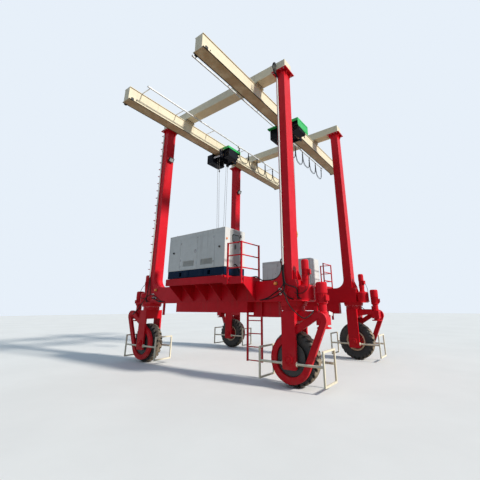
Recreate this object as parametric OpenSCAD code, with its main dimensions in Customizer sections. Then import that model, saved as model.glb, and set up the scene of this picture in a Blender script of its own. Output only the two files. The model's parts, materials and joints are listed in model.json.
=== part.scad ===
// Rubber tyred gantry crane with two runway beams, two hoists and four steered wheels.
// Units are millimetres. X runs along the sill beams, Y along the runway beams, Z up.
// The origin is on the ground, midway between the four legs.
// Corners: a near +X, b near -X, c far -X, d far +X, where near is the -Y side.

/* [Frame] */
// Half the leg spacing along the sill beams
leg_x = 2875; // [2700:5:3200]
// Half the leg spacing across the crane
leg_y = 2275; // [2200:5:2800]
// Width of a leg box along the sill
leg_w = 300; // [260:5:320]
// Depth of a leg box across the crane
leg_d = 380; // [340:5:390]
// Height of the underside of the sill flange
sill_low = 1920; // [1915:1:1925]
// Height of a sill beam over its flange
sill_h = 540; // [480:5:600]
// Width of the sill box
sill_w = 380; // [360:5:400]
// Height of the underside of the cross beams
leg_top = 9160; // [8000:10:10000]
// Radius of the curved haunch between leg and sill
haunch_r = 330; // [250:10:450]

/* [Beams] */
// Height of a cross beam
cross_h = 330; // [280:5:400]
// Width of a cross beam
cross_w = 400; // [360:5:440]
// Overhang of a cross beam beyond the leg's axis
cross_over = 195; // [170:5:400]
// Distance of each runway beam from the middle
runway_x = 1770; // [1700:5:1900]
// Half the length of a runway beam
runway_half = 4970; // [4700:10:5400]
// Height of a runway beam over its flange
runway_h = 505; // [450:5:560]
// Width over the runway beam's top plate
runway_w = 330; // [300:5:360]
// Width over the runway beam's webs
runway_web = 280; // [260:5:290]
// Width of the runway beam's bottom flange
runway_flange = 420; // [400:5:440]
// Height of the hanger block between cross beam and runway beam
hanger_h = 105; // [80:5:130]
// Distance of a festoon rail from its runway beam
rail_off = 665; // [650:5:700]
// Width of the festoon rail
rail_w = 40; // [30:2:50]

/* [Bogies] */
// Distance of the steering axes from the middle along the sills
bogie_x = 2950; // [2900:5:3000]
// Distance of the steering axes from the middle across the crane
bogie_y = 2300; // [2280:5:2320]
// Outside radius of a tyre
tyre_r = 620; // [600:5:630]
// Width of a tyre
tyre_w = 350; // [320:5:360]
// Number of lugs on each shoulder of a tyre
lugs = 20; // [16:1:26]
// Radius of the wheel rim under the tyre
rim_r = 305; // [290:5:320]
// Width of a fork arm
arm_w = 370; // [340:5:400]
// Half the width over the two fork arms
fork_half = 335; // [330:1:340]
// Thickness of a fork arm
arm_t = 60; // [50:5:62]
// Distance of the drive motor from the steering axis
drive_x = 780; // [740:5:800]
// Height of the drive sprocket
drive_z = 1490; // [1450:5:1520]
// Radius of the drive motor
drive_r = 130; // [110:5:140]
// Radius of the steering motor
steer_r = 90; // [70:1:100]
// Radius of the axle
axle_r = 45; // [40:1:50]
// Distance of a bumper frame from the steering axis
bumper_x = 850; // [840:5:860]

/* [Hoists] */
// Place of the hoists along the runway beams
hoist_y = 0; // [-500:50:500]
// Height of the hook blocks' sheave axes
hook_z = 4300; // [4250:10:4400]
// Radius of a hoist rope
rope_r = 6; // [5:1:8]
// Reach of the hood beyond the runway beam's axis
hood_x = 595; // [560:5:620]
// Length of the hood along the runway
hood_l = 860; // [700:10:1000]
// Radius of the rope drum
drum_r = 115; // [90:5:130]
// Reach of the control box beyond the runway beam's axis
control_x = 610; // [560:5:620]

/* [Power] */
// Length of the generator set
gen_l = 2430; // [2300:10:2700]
// Depth of the generator set
gen_d = 900; // [800:10:1000]
// Height of the generator canopy
gen_h = 1140; // [1000:10:1250]
// Height of the generator's base frame
gen_base_h = 245; // [200:5:300]
// Length of the far cabinet
cab_l = 2400; // [1800:10:2500]
// Height of the far cabinet
cab_h = 1080; // [800:10:1400]

/* [Access] */
// Height of the platform deck above the sills
deck_rise = 175; // [140:5:200]
// Length of the walkway at the end of each platform
walk_l = 680; // [600:10:740]
// Height of the handrail over the walkway
rail_h = 930; // [900:10:1150]
// Distance between the rungs of the leg ladder
rung_pitch = 321; // [280:1:350]
// Height of the foot of the access ladder
ladder_low = 420; // [300:10:600]

/* [Fits] */
// Radial gap between axle and wheel hub
axle_gap = 0.06; // [0.02:0.01:0.1]
// Gap between faces of parts that turn or slide past each other
slide_gap = 1; // [0.5:0.5:2]
// Gap left between a cable and the part that it runs to
cable_gap = 0.3; // [0.2:0.1:0.5]

/* [Hidden] */
$fn = 64;

// Colours
red = "firebrick";
cream = "antiquewhite";
dark = "dimgray";
green = "seagreen";

// Corner signs: side along X, then side along Y
A = [1, -1];
B = [-1, -1];
C = [-1, 1];
D = [1, 1];

// Sill beams and legs
sill_top = sill_low + sill_h;
sill_flange_t = 30;
sill_box_low = sill_low + sill_flange_t;
sill_flange_w = sill_w + 60;
sill_face = leg_y + sill_w / 2;
port_r = 110;
port_drop = 347;
port_in = 12;
flange_t = 25;
leg_flange_x = 270;
leg_flange_y = 280;
leg_high = leg_top - flange_t;
gusset_t = 12;
gusset_out = 105;
gusset_len = 220;
foot_gusset = [110, 240];
foot_toe = 20;

// Cross beams, runway beams and the hanger blocks between them
cross_half = leg_x + cross_over;
cross_top = leg_top + cross_h;
runway_top = leg_top - hanger_h;
runway_low = runway_top - runway_h;
runway_flange_t = 25;
runway_plate_t = 20;
flange_top = runway_low + runway_flange_t;
hanger_plate = [380, 460];
hanger_core = [300, 400];
hanger_plate_t = 22;
hanger_split = runway_top + hanger_h / 2 + 12;
stop_in = 190;
stop_size = [56, 120, 110];

// Festoon rail, its brackets and its cable loops
rail_drop = 25;
rail_z = runway_top - rail_drop;
rail_x = runway_x - rail_off;
rail_t = 4;
rail_slot = 14;
rail_y0 = -4620;
rail_y1 = 4900;
arm_t2 = 10;
arm_w2 = 30;
arm_ys = [-4500, -3000, -1300, 800, 1900, 3300, 4800];
festoon_y0 = 350;
festoon_y1 = 4700;
festoon_loops = 6;
festoon_pitch = (festoon_y1 - festoon_y0) / festoon_loops;
loop_steps = 10;
loop_depth = 630;
carrier_drop = 190;
carrier_size = [28, 60];
festoon_r = 12;
festoon_points = [for (k = [0 : loop_steps * festoon_loops])
    [rail_x, festoon_y0 + festoon_pitch * k / loop_steps,
        rail_z - carrier_drop - loop_depth * pow(abs(sin(180 * k / loop_steps)), 0.7)]];

// Slewing ring and steering drive at each sill end
slew_r = 340;
slew_hole = 90;
slew_low = sill_low - 115;
pinion_x = 370;
pinion_r = 225;
pinion_h = 350;
steer_gear_h = 256;
steer_motor_h = 150;
steer_cowl_h = 240;
plate_end = 520;
cheek_reach = 70;
sill_end_gap = 20;
end_web_t = 14;
sill_box = bogie_x + pinion_x - pinion_r - sill_end_gap;
sill_half = sill_box + cheek_reach;

// Platforms over the sills
deck_z = sill_top + deck_rise;
plat_x0 = -1250;
plat_x1 = plat_x0 + gen_l + 20;
walk_x1 = plat_x1 + walk_l;
walk_drop = 65;
walk_z = deck_z - walk_drop;
plat_edge = 3070;
plat_in = leg_y - sill_w / 2 + 20;
walk_in = leg_y + 30;
edge_h = 205;
walk_edge_h = 190;
edge_t = 60;
edge_plate = 12;
deck_t = 30;
web_t = 15;
web_foot = 10;
web_in = 100;
web_pitch = 590;
plat_webs = [for (k = [0 : 3]) plat_x0 + web_in + k * web_pitch, plat_x1 - 10];

// Generator set and far cabinet
gen_x0 = plat_x0 + 10;
gen_y0 = -3015;
gen_feet = 20;
gen_lip = 10;
pocket_w = 110;
pocket_off = 620;
pockets = [for (end = [-1, 1]) gen_l / 2 + end * pocket_off - pocket_w / 2];
gen_seam = 8;
gen_seams = [540, 1310, gen_l - 390];
roof_seam = 140;
louvre = [490, 165, 40];
louvre_z = 115;
louvre_x = [700, 1475];
slats = 5;
door_y = [215, 690];
door_in = 10;
cab_x0 = -950;
cab_d = 800;
cab_feet = 40;
cab_in = 510;

// Handrails
rail_r = 17;
rail_post = 40;
rail_gaps = [20, 365, 705];

// Ladder on leg b and access ladder under the near sill
rung_z0 = sill_top + 380;
rungs = floor((leg_high - 170 - rung_z0) / rung_pitch) + 1;
rung_w = 360;
rung_out = 150;
rung_r = 11;
ladder_x0 = 1480;
ladder_x1 = 1955;
ladder_t = 45;
ladder_pitch = 330;
ladder_rung_r = 14;

// Boxes and posts under the sills
box_x0 = -1370;
box_x1 = 1590;
box_low = sill_low - 280;
box_lap = 5;
tank_x0 = 1650;
tank_x1 = 2470;
tank_low = sill_low - 390;
tank_y = [15, 200];
stay_b = -2260;
stay_d = 2090;
stay_half = 30;

// Lamps, beacons, pipes and glands
lamp_drop = 1440;
lamp_size = [70, 220, 180];
lamp_tilt = 25;
beacon_x = 2535;
beacon_drop = 85;
beacon_r = 40;
pipe_r = 24;
pipe_off = 95;
pipe_z0 = sill_top + 590;
pipe_z1 = leg_top - 290;
clip_pitch = 1600;
gland_x = 2670;
gland_r = 28;
gland_drops = [235, 350];
gland_third = -2530;

// Wheel, fork and chain guard
fork_top = slew_low - 115;
fork_low = 2 * tyre_r + 160;
drum_neck = slew_r - 60;
arm_end = 400;
arm_chamfer = 30;
hub_plate_r = 105;
hub_plate_t = 25;
guard_r = 530;
guard_w = 150;
guard_end_r = 190;
guard_t = 75;
guard_y0 = arm_t - fork_half;
guard_y1 = guard_y0 + guard_t;
tuck = cos(2);
disc_r = guard_r - guard_w - 12;
lug_depth = 26;
lug_w = 30;
lug_len = 120;
lug_lean = 18;
bead = 50;

// Drive gearmotor above the chain guard
gear_half = [120, 150];
gear_low = drive_z - 110;
gear_high = drive_z + 150;
dish_r = 165;
motor_low = 1900;
motor_h = 205;
cowl_h = 255;
fins = 20;
fin_h = 12;
fin_w = 8;
shaft_r = 60;

// Bumper frame
bumper_half = 335;
bumper_z0 = 130;
bumper_z1 = 855;
bumper_t = 40;
push_z = 530;
push_r = 28;
push_flange = [55, 12];

// Hoist, measured from the runway beam's axis
trolley_y0 = -500;
trolley_y1 = 660;
plate_x = runway_flange / 2 + 16;
plate_t = 18;
plate_out = plate_x + plate_t;
plate_drop = 240;
plate_low = runway_low - plate_drop;
plate_high = flange_top + 150;
plate_lug = 200;
plate_arch = runway_low - 5;
wheel_ys = [-400, 560];
wheel_r = 61.5;
wheel_lip = 78;
wheel_rise = 62;
tie_z = runway_low - 150;
tie_r = 40;
hood_y0 = -330;
hood_z = flange_top + 235;
hood_t = 8;
control_y0 = -440;
control_y1 = 310;
control_low = runway_low - 370;
control_high = runway_low + 50;
drum_x = 460;
drum_z = runway_low - 95;
drum_in = 60;
hood_lap = 80;
housing_l = 540;
housing_low = runway_low - 215;
case_t = 90;
motor_x = 430;
motor_z = runway_low + 10;
hoist_motor_r = 64;
travel_gear = 70;
sheave_x = 50;
rope_out = [-330, 260];
sheave_top_r = 95;
sheave_z = runway_low - 215;
sheave_t = 20;
hook_sheave_r = 190;
cheek_t = 14;
cheek_x = 68;
cheek_r = 200;
hood_lip = 110;
hood_side_1 = 105;
hood_side_2 = 400;
hood_back_x = 630;
hood_back_y0 = -600;

// Foot of the post under the far sill
stay_h = 620;
stay_low = sill_low - stay_h;

// Route of the generator's cable: off its end, over the walkway, along the haunch and up to the pipe
walk_run = leg_x - leg_w / 2 - haunch_r - walk_x1;
gen_end = gen_x0 + gen_l + gen_lip - door_in + cable_gap;
door_low = deck_z + gen_base_h;
haunch_x = leg_x - leg_w / 2;
haunch_cable_r = 16;
cable_rest = haunch_cable_r + 2;
cable_y = -sill_face + 20;
haunch_cable = [[gen_end, -2567, door_low + 90], [gen_end + 28, -2567, door_low + 90],
    [gen_end + 60, -2553, door_low + 66], [gen_end + 84, -2512, door_low - 10],
    [gen_end + 96, -2450, door_low - 105], [gen_end + 116, -2405, walk_z + 140],
    [gen_end + 160, -2400, walk_z + 62], [gen_end + 240, -2430, walk_z + 22],
    [gen_end + 340, cable_y, walk_z + cable_rest],
    [walk_x1 - 140, cable_y, walk_z + cable_rest], [walk_x1 + 15, cable_y, walk_z + 20],
    [walk_x1 + walk_run * 0.25, cable_y, sill_top + 60],
    [walk_x1 + walk_run * 0.45, cable_y, sill_top + cable_rest],
    [haunch_x - haunch_r - 30, cable_y, sill_top + cable_rest], [haunch_x - 175, cable_y, sill_top + 58],
    [haunch_x - 57, cable_y, sill_top + 174], [haunch_x - cable_rest, cable_y, sill_top + 330],
    [haunch_x - cable_rest, cable_y, sill_top + 400], [haunch_x - 23, cable_y - 17, sill_top + 470],
    [haunch_x - 13, cable_y - 47, sill_top + 510], [haunch_x + 25, cable_y - 55, sill_top + 535],
    [leg_x - pipe_off, -leg_y - leg_d / 2 - pipe_r, sill_top + 560],
    [leg_x - pipe_off, -leg_y - leg_d / 2 - pipe_r, pipe_z0 - cable_gap]];

// Route of the slack cable at each drive, for corner a and from its steering axis
slack_points = [[-250, -211, 2190], [-250, -250, 2187], [-225, -320, 2120], [-150, -390, 1980],
    [-30, -420, 1840], [140, -430, 1740], [320, -400, 1700], [460, -300, 1710], [550, -180, 1735],
    [570, -108, 1742], [598, -105, 1742]];

// One box from its two corner coordinates on each axis
module block(x0, x1, y0, y1, z0, z1) {
    translate([x0, y0, z0])
        cube([x1 - x0, y1 - y0, z1 - z0]);
}

// A round bar between two heights
module post(x, y, z0, z1, r) {
    translate([x, y, z0])
        cylinder(r = r, h = z1 - z0);
}

// A round bar along Y
module bar_y(x, z, y0, y1, r) {
    translate([x, y0, z])
        rotate([-90, 0, 0])
            cylinder(r = r, h = y1 - y0);
}

// A round bar along X
module bar_x(y, z, x0, x1, r) {
    translate([x0, y, z])
        rotate([0, 90, 0])
            cylinder(r = r, h = x1 - x0);
}

// Children drawn for corner a are turned to the corner with these signs
module at_corner(corner) {
    translate([corner[0] * bogie_x, corner[1] * bogie_y, 0])
        mirror([corner[0] < 0 ? 1 : 0, 0, 0])
            mirror([0, corner[1] > 0 ? 1 : 0, 0])
                children();
}

// Children drawn for the near side are turned to the far side
module on_side(side) {
    mirror([0, side > 0 ? 1 : 0, 0])
        children();
}

// Children drawn for the +X end are turned to the other end
module on_end(end) {
    mirror([end < 0 ? 1 : 0, 0, 0])
        children();
}

// Plate of a polygon in the XZ plane, from y up to y + t
module plate_xz(points, y, t) {
    translate([0, y + t, 0])
        rotate([90, 0, 0])
            linear_extrude(t)
                polygon(points);
}

// Plate of a polygon in the YZ plane, from x up to x + t
module plate_yz(points, x, t) {
    translate([x, 0, 0])
        rotate([90, 0, 90])
            linear_extrude(t)
                polygon(points);
}

// Points swept into one closed tube with flat sides
function unit(v) = v / norm(v);
function ring_axis(p, i) =
    i == 0 ? unit(p[1] - p[0]) :
    i == len(p) - 1 ? unit(p[i] - p[i - 1]) :
    unit(unit(p[i + 1] - p[i]) + unit(p[i] - p[i - 1]));
function side_of(t) = unit(cross(t, abs(t[0]) > 0.9 ? [0, 1, 0.3] : [1, 0.2, 0]));
function tube_ring(p, i, r, n) =
    let (t = ring_axis(p, i), u = side_of(t), v = cross(t, u))
    [for (k = [0 : n - 1]) p[i] + r * (cos(360 * k / n) * u + sin(360 * k / n) * v)];
module tube(p, r, n = 8) {
    rings = len(p);
    polyhedron(
        points = [for (i = [0 : rings - 1]) each tube_ring(p, i, r, n)],
        faces = concat(
            [[for (k = [0 : n - 1]) k]],
            [for (i = [0 : rings - 2], k = [0 : n - 1])
                let (a = i * n + k, b = i * n + (k + 1) % n)
                each [[a, a + n, b], [b, a + n, b + n]]],
            [[for (k = [n - 1 : -1 : 0]) (rings - 1) * n + k]]));
}

// Round motor with cooling fins all round it and a plain cowl over its fan, standing on z = 0
module finned_motor(r, h, cowl) {
    linear_extrude(h) {
        circle(r = r - fin_h);
        for (k = [0 : fins - 1])
            rotate(k * 360 / fins)
                translate([0, -fin_w / 2])
                    square([r, fin_w]);
    }
    translate([0, 0, h])
        rotate_extrude()
            polygon([[0, 0], [r + 6, 0], [r + 6, cowl - 25], [r - 15, cowl], [0, cowl]]);
}

// Concave corner between leg and sill
module haunch_profile(x1) {
    difference() {
        polygon([[x1 - haunch_r, sill_top], [x1, sill_top], [x1, sill_top + haunch_r]]);
        translate([x1 - haunch_r, sill_top + haunch_r])
            circle(r = haunch_r);
    }
}

// End of a sill: haunch, slewing plate and the two webs that reach past the box beside the pinion drum
module sill_end() {
    translate([0, leg_d / 2 - leg_y, 0])
        rotate([90, 0, 0])
            linear_extrude(leg_d)
                haunch_profile(leg_x - leg_w / 2);
    translate([bogie_x, -bogie_y, sill_low])
        intersection() {
            cylinder(r = plate_end + 20, h = sill_flange_t);
            block(-380, plate_end, -350, 350, 0, sill_flange_t);
        }
    for (y = [-sill_face, -leg_y + sill_w / 2 - end_web_t])
        plate_xz([[sill_box - 5, sill_box_low], [sill_half, sill_box_low], [sill_half, sill_top - 120],
            [sill_half - 40, sill_top], [sill_box - 5, sill_top]], y, end_web_t);
}

// Box beam between the legs of one side, with its haunches, slewing plates and end ports
module sill() {
    difference() {
        union() {
            block(-sill_box, sill_box, -sill_face, -leg_y + sill_w / 2, sill_box_low, sill_top);
            block(-sill_half, sill_half, -leg_y - sill_flange_w / 2, -leg_y + sill_flange_w / 2,
                sill_low, sill_box_low);
        }
        for (end = [-1, 1])
                bar_y(end * (bogie_x + 30), sill_top - port_drop, -sill_face - 5,
                -sill_face + port_in, port_r);
    }
    for (end = [-1, 1])
        on_end(end)
            sill_end();
}

module near_sill() {
    color(red)
        sill();
}

module far_sill() {
    color(red)
        on_side(1)
            sill();
}

// A leg is a square box with a flange plate and gussets at the top and gussets at the foot
module leg() {
    block(-leg_w / 2, leg_w / 2, -leg_d / 2, leg_d / 2, sill_top, leg_high - flange_t);
    block(-leg_flange_x, leg_flange_x, -leg_flange_y, leg_flange_y, leg_high - flange_t, leg_high);
    z = leg_high - flange_t;
    for (end = [-1, 1])
        on_end(end)
            for (y = [-126, 114])
                plate_xz([[leg_w / 2, z], [leg_w / 2 + gusset_out, z], [leg_w / 2, z - gusset_len]],
                    y, gusset_t);
    for (side = [-1, 1])
        on_side(side)
            for (x = [-96, 84])
                plate_yz([[-leg_d / 2, z], [-leg_d / 2 - gusset_out + 20, z], [-leg_d / 2, z - gusset_len]],
                    x, gusset_t);
}

module foot_gussets() {
    x = leg_w / 2;
    for (y = [-126, 114])
        plate_xz([[x, sill_top], [x + foot_gusset[0], sill_top], [x + foot_gusset[0], sill_top + foot_toe],
            [x + foot_toe, sill_top + foot_gusset[1]], [x, sill_top + foot_gusset[1]]], y, gusset_t);
}

module leg_pair(side) {
    on_side(side)
        for (end = [-1, 1])
            on_end(end)
                translate([leg_x, -leg_y, 0]) {
                    leg();
                    foot_gussets();
                }
}

module near_legs() {
    color(red)
        leg_pair(-1);
}

module far_legs() {
    color(red)
        leg_pair(1);
}

// Bolted slot joint: half of a hanger block between two heights, with its plate at one of them
module hanger_half(z0, z1, plate_z) {
    block(-hanger_core[0] / 2, hanger_core[0] / 2, -hanger_core[1] / 2, hanger_core[1] / 2, z0, z1);
    block(-hanger_plate[0] / 2, hanger_plate[0] / 2, -hanger_plate[1] / 2, hanger_plate[1] / 2,
        plate_z, plate_z + hanger_plate_t);
}

// Cross beams stand on the leg flanges and carry the upper hanger halves
module cross_beam() {
    block(-cross_half, cross_half, -leg_y - cross_w / 2, -leg_y + cross_w / 2, leg_top, cross_top);
    for (end = [-1, 1])
        on_end(end) {
            translate([leg_x, -leg_y, leg_high])
                block(-leg_flange_x, cross_over, -leg_flange_y, leg_flange_y, 0, flange_t);
            translate([runway_x, -leg_y, 0])
                hanger_half(hanger_split, leg_top, hanger_split);
        }
}

module cross_beams() {
    color(cream)
        for (side = [-1, 1])
            on_side(side)
                cross_beam();
}

// Runway beam: top plate, webs, bottom flange, stops and lower hanger halves
module runway_profile() {
    web_top = runway_top - runway_plate_t;
    polygon([
        [-runway_flange / 2, runway_low], [runway_flange / 2, runway_low],
        [runway_flange / 2, flange_top], [runway_web / 2, flange_top],
        [runway_web / 2, web_top], [runway_w / 2, web_top],
        [runway_w / 2, runway_top], [-runway_w / 2, runway_top],
        [-runway_w / 2, web_top], [-runway_web / 2, web_top],
        [-runway_web / 2, flange_top], [-runway_flange / 2, flange_top]]);
}

module runway_beam() {
    translate([0, runway_half, 0])
        rotate([90, 0, 0])
            linear_extrude(2 * runway_half)
                runway_profile();
    for (side = [-1, 1])
        on_side(side) {
            for (x = [-runway_web / 2 - stop_size[0] / 2, runway_web / 2 + stop_size[0] / 2])
                translate([x, stop_in - runway_half, flange_top])
                    block(-stop_size[0] / 2, stop_size[0] / 2, -stop_size[1] / 2, stop_size[1] / 2,
                        0, stop_size[2]);
            translate([0, -leg_y, 0])
                hanger_half(runway_top, hanger_split, hanger_split - hanger_plate_t);
        }
}

module runway_beam_1() {
    color(cream)
        translate([-runway_x, 0, 0])
            runway_beam();
}

module runway_beam_2() {
    color(cream)
        translate([runway_x, 0, 0])
            runway_beam();
}

// Festoon rail: a slotted square tube on bracket arms from the inner edge of each runway beam
module rail_profile() {
    difference() {
        square([rail_w, rail_w], center = true);
        square([rail_w - 2 * rail_t, rail_w - 2 * rail_t], center = true);
        translate([0, -rail_w / 2])
            square([rail_slot, 3 * rail_t], center = true);
    }
}

module festoon_rail() {
    translate([rail_x, rail_y1, rail_z])
        rotate([90, 0, 0])
            linear_extrude(rail_y1 - rail_y0)
                rail_profile();
    for (y = arm_ys) {
        block(rail_x - rail_w / 2, runway_x - runway_w / 2, y - arm_w2 / 2, y + arm_w2 / 2,
            runway_top - arm_t2, runway_top);
        difference() {
            block(rail_x - rail_w / 2 - 5, rail_x + rail_w / 2 + 5, y - arm_w2 / 2, y + arm_w2 / 2,
                rail_z - 12, runway_top - arm_t2);
            block(rail_x - rail_w / 2, rail_x + rail_w / 2, y - arm_w2, y + arm_w2,
                rail_z - rail_w, rail_z + rail_w / 2);
        }
    }
}

module festoon_rails() {
    color("silver") {
        festoon_rail();
        mirror([1, 0, 0])
            festoon_rail();
    }
}

// Platform over each sill: deck, channel edge and triangular webs under it, and the lower walkway
module channel_profile(h) {
    difference() {
        square([edge_t, h]);
        translate([edge_plate, edge_plate])
            square([edge_t, h - 2 * edge_plate]);
    }
}

module channel_x(x0, x1, z_top, h) {
    translate([x0, -plat_edge, z_top - h])
        rotate([90, 0, 90])
            linear_extrude(x1 - x0)
                channel_profile(h);
}

module web(x, z_top, h, y_in) {
    y_out = -plat_edge + edge_t;
    plate_yz([[-sill_face, z_top - deck_t], [-sill_face, sill_box_low + web_foot],
        [y_out, z_top - h], [y_out, z_top - deck_t]], x, web_t);
    block(x, x + web_t, -sill_face, -y_in, sill_top, z_top - deck_t);
}

module platform() {
    block(plat_x0, plat_x1, -plat_edge + edge_t, -plat_in, deck_z - deck_t, deck_z);
    channel_x(plat_x0, plat_x1, deck_z, edge_h);
    for (x = plat_webs)
        web(x, deck_z, edge_h, plat_in);
    block(plat_x1, walk_x1, -plat_edge + edge_t, -walk_in, walk_z - deck_t, walk_z);
    channel_x(plat_x1, walk_x1, walk_z, walk_edge_h);
    web(walk_x1 - web_t, walk_z, walk_edge_h, walk_in);
}

module platforms() {
    color(red) {
        platform();
        on_side(1)
            platform();
    }
}

// Generator set on the near platform
module generator_base() {
    color("midnightblue")
        translate([gen_x0, gen_y0, deck_z]) {
            difference() {
                block(0, gen_l, 0, gen_d, gen_feet, gen_base_h);
                for (x = pockets)
                    block(x, x + pocket_w, -1, gen_d + 1, gen_feet + 40, gen_base_h - 60);
            }
            for (x = [90, gen_l - 250])
                block(x, x + 160, 0, gen_d, 0, gen_feet);
        }
}

// Louvred panel sunk in the canopy's wall, with slats across it
module louvre_cut(x) {
    block(x, x + louvre[0], -gen_lip - 1, louvre[2] - gen_lip, louvre_z, louvre_z + louvre[1]);
}

module louvre_slats(x) {
    pitch = louvre[1] / slats;
    inner = louvre[2] - gen_lip;
    for (k = [0 : slats - 1])
        translate([0, 0, louvre_z + k * pitch])
            plate_yz([[inner, 4], [inner, 14], [-gen_lip, pitch - 4], [-gen_lip, pitch - 10]],
                x, louvre[0]);
}

module generator_canopy() {
    color("whitesmoke")
        translate([gen_x0, gen_y0, deck_z + gen_base_h]) {
            difference() {
                block(-gen_lip, gen_l + gen_lip, -gen_lip, gen_d + gen_lip, 0, gen_h);
                for (x = louvre_x)
                    louvre_cut(x);
                for (x = gen_seams)
                    for (y = [-gen_lip - 1, gen_d + gen_lip - 5])
                        block(x, x + gen_seam, y, y + 6, 30, gen_h - roof_seam);
                for (y = [-gen_lip - 1, gen_d + gen_lip - 5])
                    block(-gen_lip - 1, gen_l + gen_lip + 1, y, y + 6,
                        gen_h - roof_seam, gen_h - roof_seam + gen_seam);
                block(gen_l + gen_lip - door_in, gen_l + gen_lip + 1, door_y[0], door_y[1], 0, gen_h - 35);
            }
            for (x = louvre_x)
                louvre_slats(x);
        }
}

// Cabinet on the far platform
module far_cabinet() {
    color("gainsboro")
        translate([cab_x0, sill_face - cab_in, deck_z]) {
            difference() {
                block(0, cab_l, 0, cab_d, cab_feet, cab_h);
                for (x = [cab_l / 3, 2 * cab_l / 3])
                    for (y = [-1, cab_d - 5])
                        block(x, x + gen_seam, y, y + 6, cab_feet + 40, cab_h - 60);
            }
            for (x = [60, cab_l - 220])
                block(x, x + 160, 30, cab_d - 30, 0, cab_feet);
        }
}

// Guard round the walkway's end: posts on its outer edge, one on the sill, and three rails
module handrail() {
    y0 = -plat_edge - rail_post / 2;
    y1 = -walk_in + rail_post / 2 + 2;
    x0 = plat_x1 + 185;
    x1 = walk_x1 - rail_post / 2;
    top = walk_z + rail_h;
    for (x = [x0, x1])
        block(x - rail_post / 2, x + rail_post / 2, y0 - rail_post / 2, y0 + rail_post / 2,
            walk_z - walk_edge_h, top);
    block(x1 - rail_post / 2, x1 + rail_post / 2, y1 - rail_post / 2, y1 + rail_post / 2, sill_top, top);
    for (gap = rail_gaps) {
        bar_x(y0, top - gap, x0, x1, rail_r);
        bar_y(x1, top - gap, y0, y1, rail_r);
    }
}

module near_handrail() {
    color(red)
        handrail();
}

module far_handrail() {
    color(red)
        on_side(1)
            handrail();
}

// Access ladder hung from the near sill
module access_ladder() {
    y = -bogie_y;
    count = floor((box_low - 100 - ladder_low) / ladder_pitch) + 1;
    color(red) {
        block(ladder_x0 - ladder_t / 2, ladder_x0 + ladder_t / 2, y - 20, y + 20, ladder_low, box_low);
        block(ladder_x1 - ladder_t / 2, ladder_x1 + ladder_t / 2, y - 20, y + 20, ladder_low, sill_low);
        for (k = [0 : count - 1])
            bar_x(y, ladder_low + 25 + k * ladder_pitch, ladder_x0, ladder_x1, ladder_rung_r);
        block(ladder_x0, ladder_x1, y - 16, y + 16, box_low - 110, box_low - 60);
    }
}

// Step irons on the outer face of leg b
module leg_rungs() {
    x0 = -leg_x - leg_w / 2;
    color(red)
        for (k = [0 : rungs - 1]) {
            z = rung_z0 + k * rung_pitch;
            bar_y(x0 - rung_out, z, -leg_y - rung_w / 2, -leg_y + rung_w / 2, rung_r);
            for (side = [-1, 1])
                bar_x(-leg_y + side * (rung_w / 2 - rung_r), z, x0 - rung_out, x0, rung_r);
        }
}

// Floodlight on a bracket, its glass sunk in the front and fins down its back
module lamp(y) {
    half = [lamp_size[1] / 2, lamp_size[2] / 2];
    translate([-leg_x + leg_w / 2, y, leg_top - lamp_drop]) {
        block(0, 60, -20, 20, -20, 20);
        translate([60, 0, -10])
            rotate([0, lamp_tilt, 0]) {
                difference() {
                    block(0, lamp_size[0], -half[0], half[0], -half[1], half[1]);
                    block(lamp_size[0] - 8, lamp_size[0] + 1, 14 - half[0], half[0] - 14,
                        14 - half[1], half[1] - 14);
                    for (k = [-4 : 4])
                        if (k != 0)
                            block(-1, 22, k * 22 - 5, k * 22 + 5, -half[1] - 1, half[1] + 1);
                }
            }
    }
}

module lamps() {
    color(dark) {
        lamp(-leg_y);
        lamp(leg_y);
    }
}

// Beacons on the near face of the near sill
module beacons() {
    color("darkorange")
        for (end = [-1, 1])
            translate([end * beacon_x, -sill_face, sill_top - beacon_drop])
                rotate([90, 0, 0])
                    rotate_extrude()
                        polygon([[0, 0], [beacon_r + 6, 0], [beacon_r + 6, 14], [beacon_r, 14],
                            [beacon_r, 58], [beacon_r - 8, 70], [beacon_r - 22, 77], [0, 80]]);
}

// Pipes up legs a and b and the glands on the sill
module gland(x, z) {
    bar_y(x, z, -sill_face - 45, -sill_face, gland_r);
    bar_y(x, z, -sill_face - 12, -sill_face, gland_r + 10);
}

module conduits() {
    y = -leg_y - leg_d / 2;
    color("lightgray")
        for (end = [-1, 1]) {
            x = end * leg_x - pipe_off;
            post(x, y - pipe_r, pipe_z0, pipe_z1, pipe_r);
            for (z = [pipe_z0 + 250 : clip_pitch : pipe_z1])
                block(x - 30, x + 30, y - 2 * pipe_r - 6, y, z, z + 30);
            for (drop = gland_drops)
                gland(end * gland_x, sill_top - drop);
        }
    color("lightgray")
        gland(gland_third, sill_top - gland_drops[1]);
}

// Steering gearmotor on each sill end: round pinion housing, gearbox and motor
module steering_gearmotor() {
    translate([pinion_x, 0, sill_box_low]) {
        rotate_extrude()
            polygon([[0, 0], [pinion_r, 0], [pinion_r, 24], [pinion_r - 12, 30],
                [pinion_r - 12, pinion_h - 40], [pinion_r - 30, pinion_h - 12],
                [pinion_r - 60, pinion_h], [0, pinion_h]]);
        translate([0, 0, pinion_h])
            rotate_extrude()
                polygon([[0, 0], [105, 0], [105, 20], [88, 30], [88, 130], [96, 140], [96, 230],
                    [104, 236], [104, steer_gear_h], [0, steer_gear_h]]);
        translate([0, 0, pinion_h + steer_gear_h])
            finned_motor(steer_r, steer_motor_h, steer_cowl_h);
    }
}

module steering_gearmotors() {
    color(red)
        for (corner = [A, B, C, D])
            at_corner(corner)
                steering_gearmotor();
}

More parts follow.
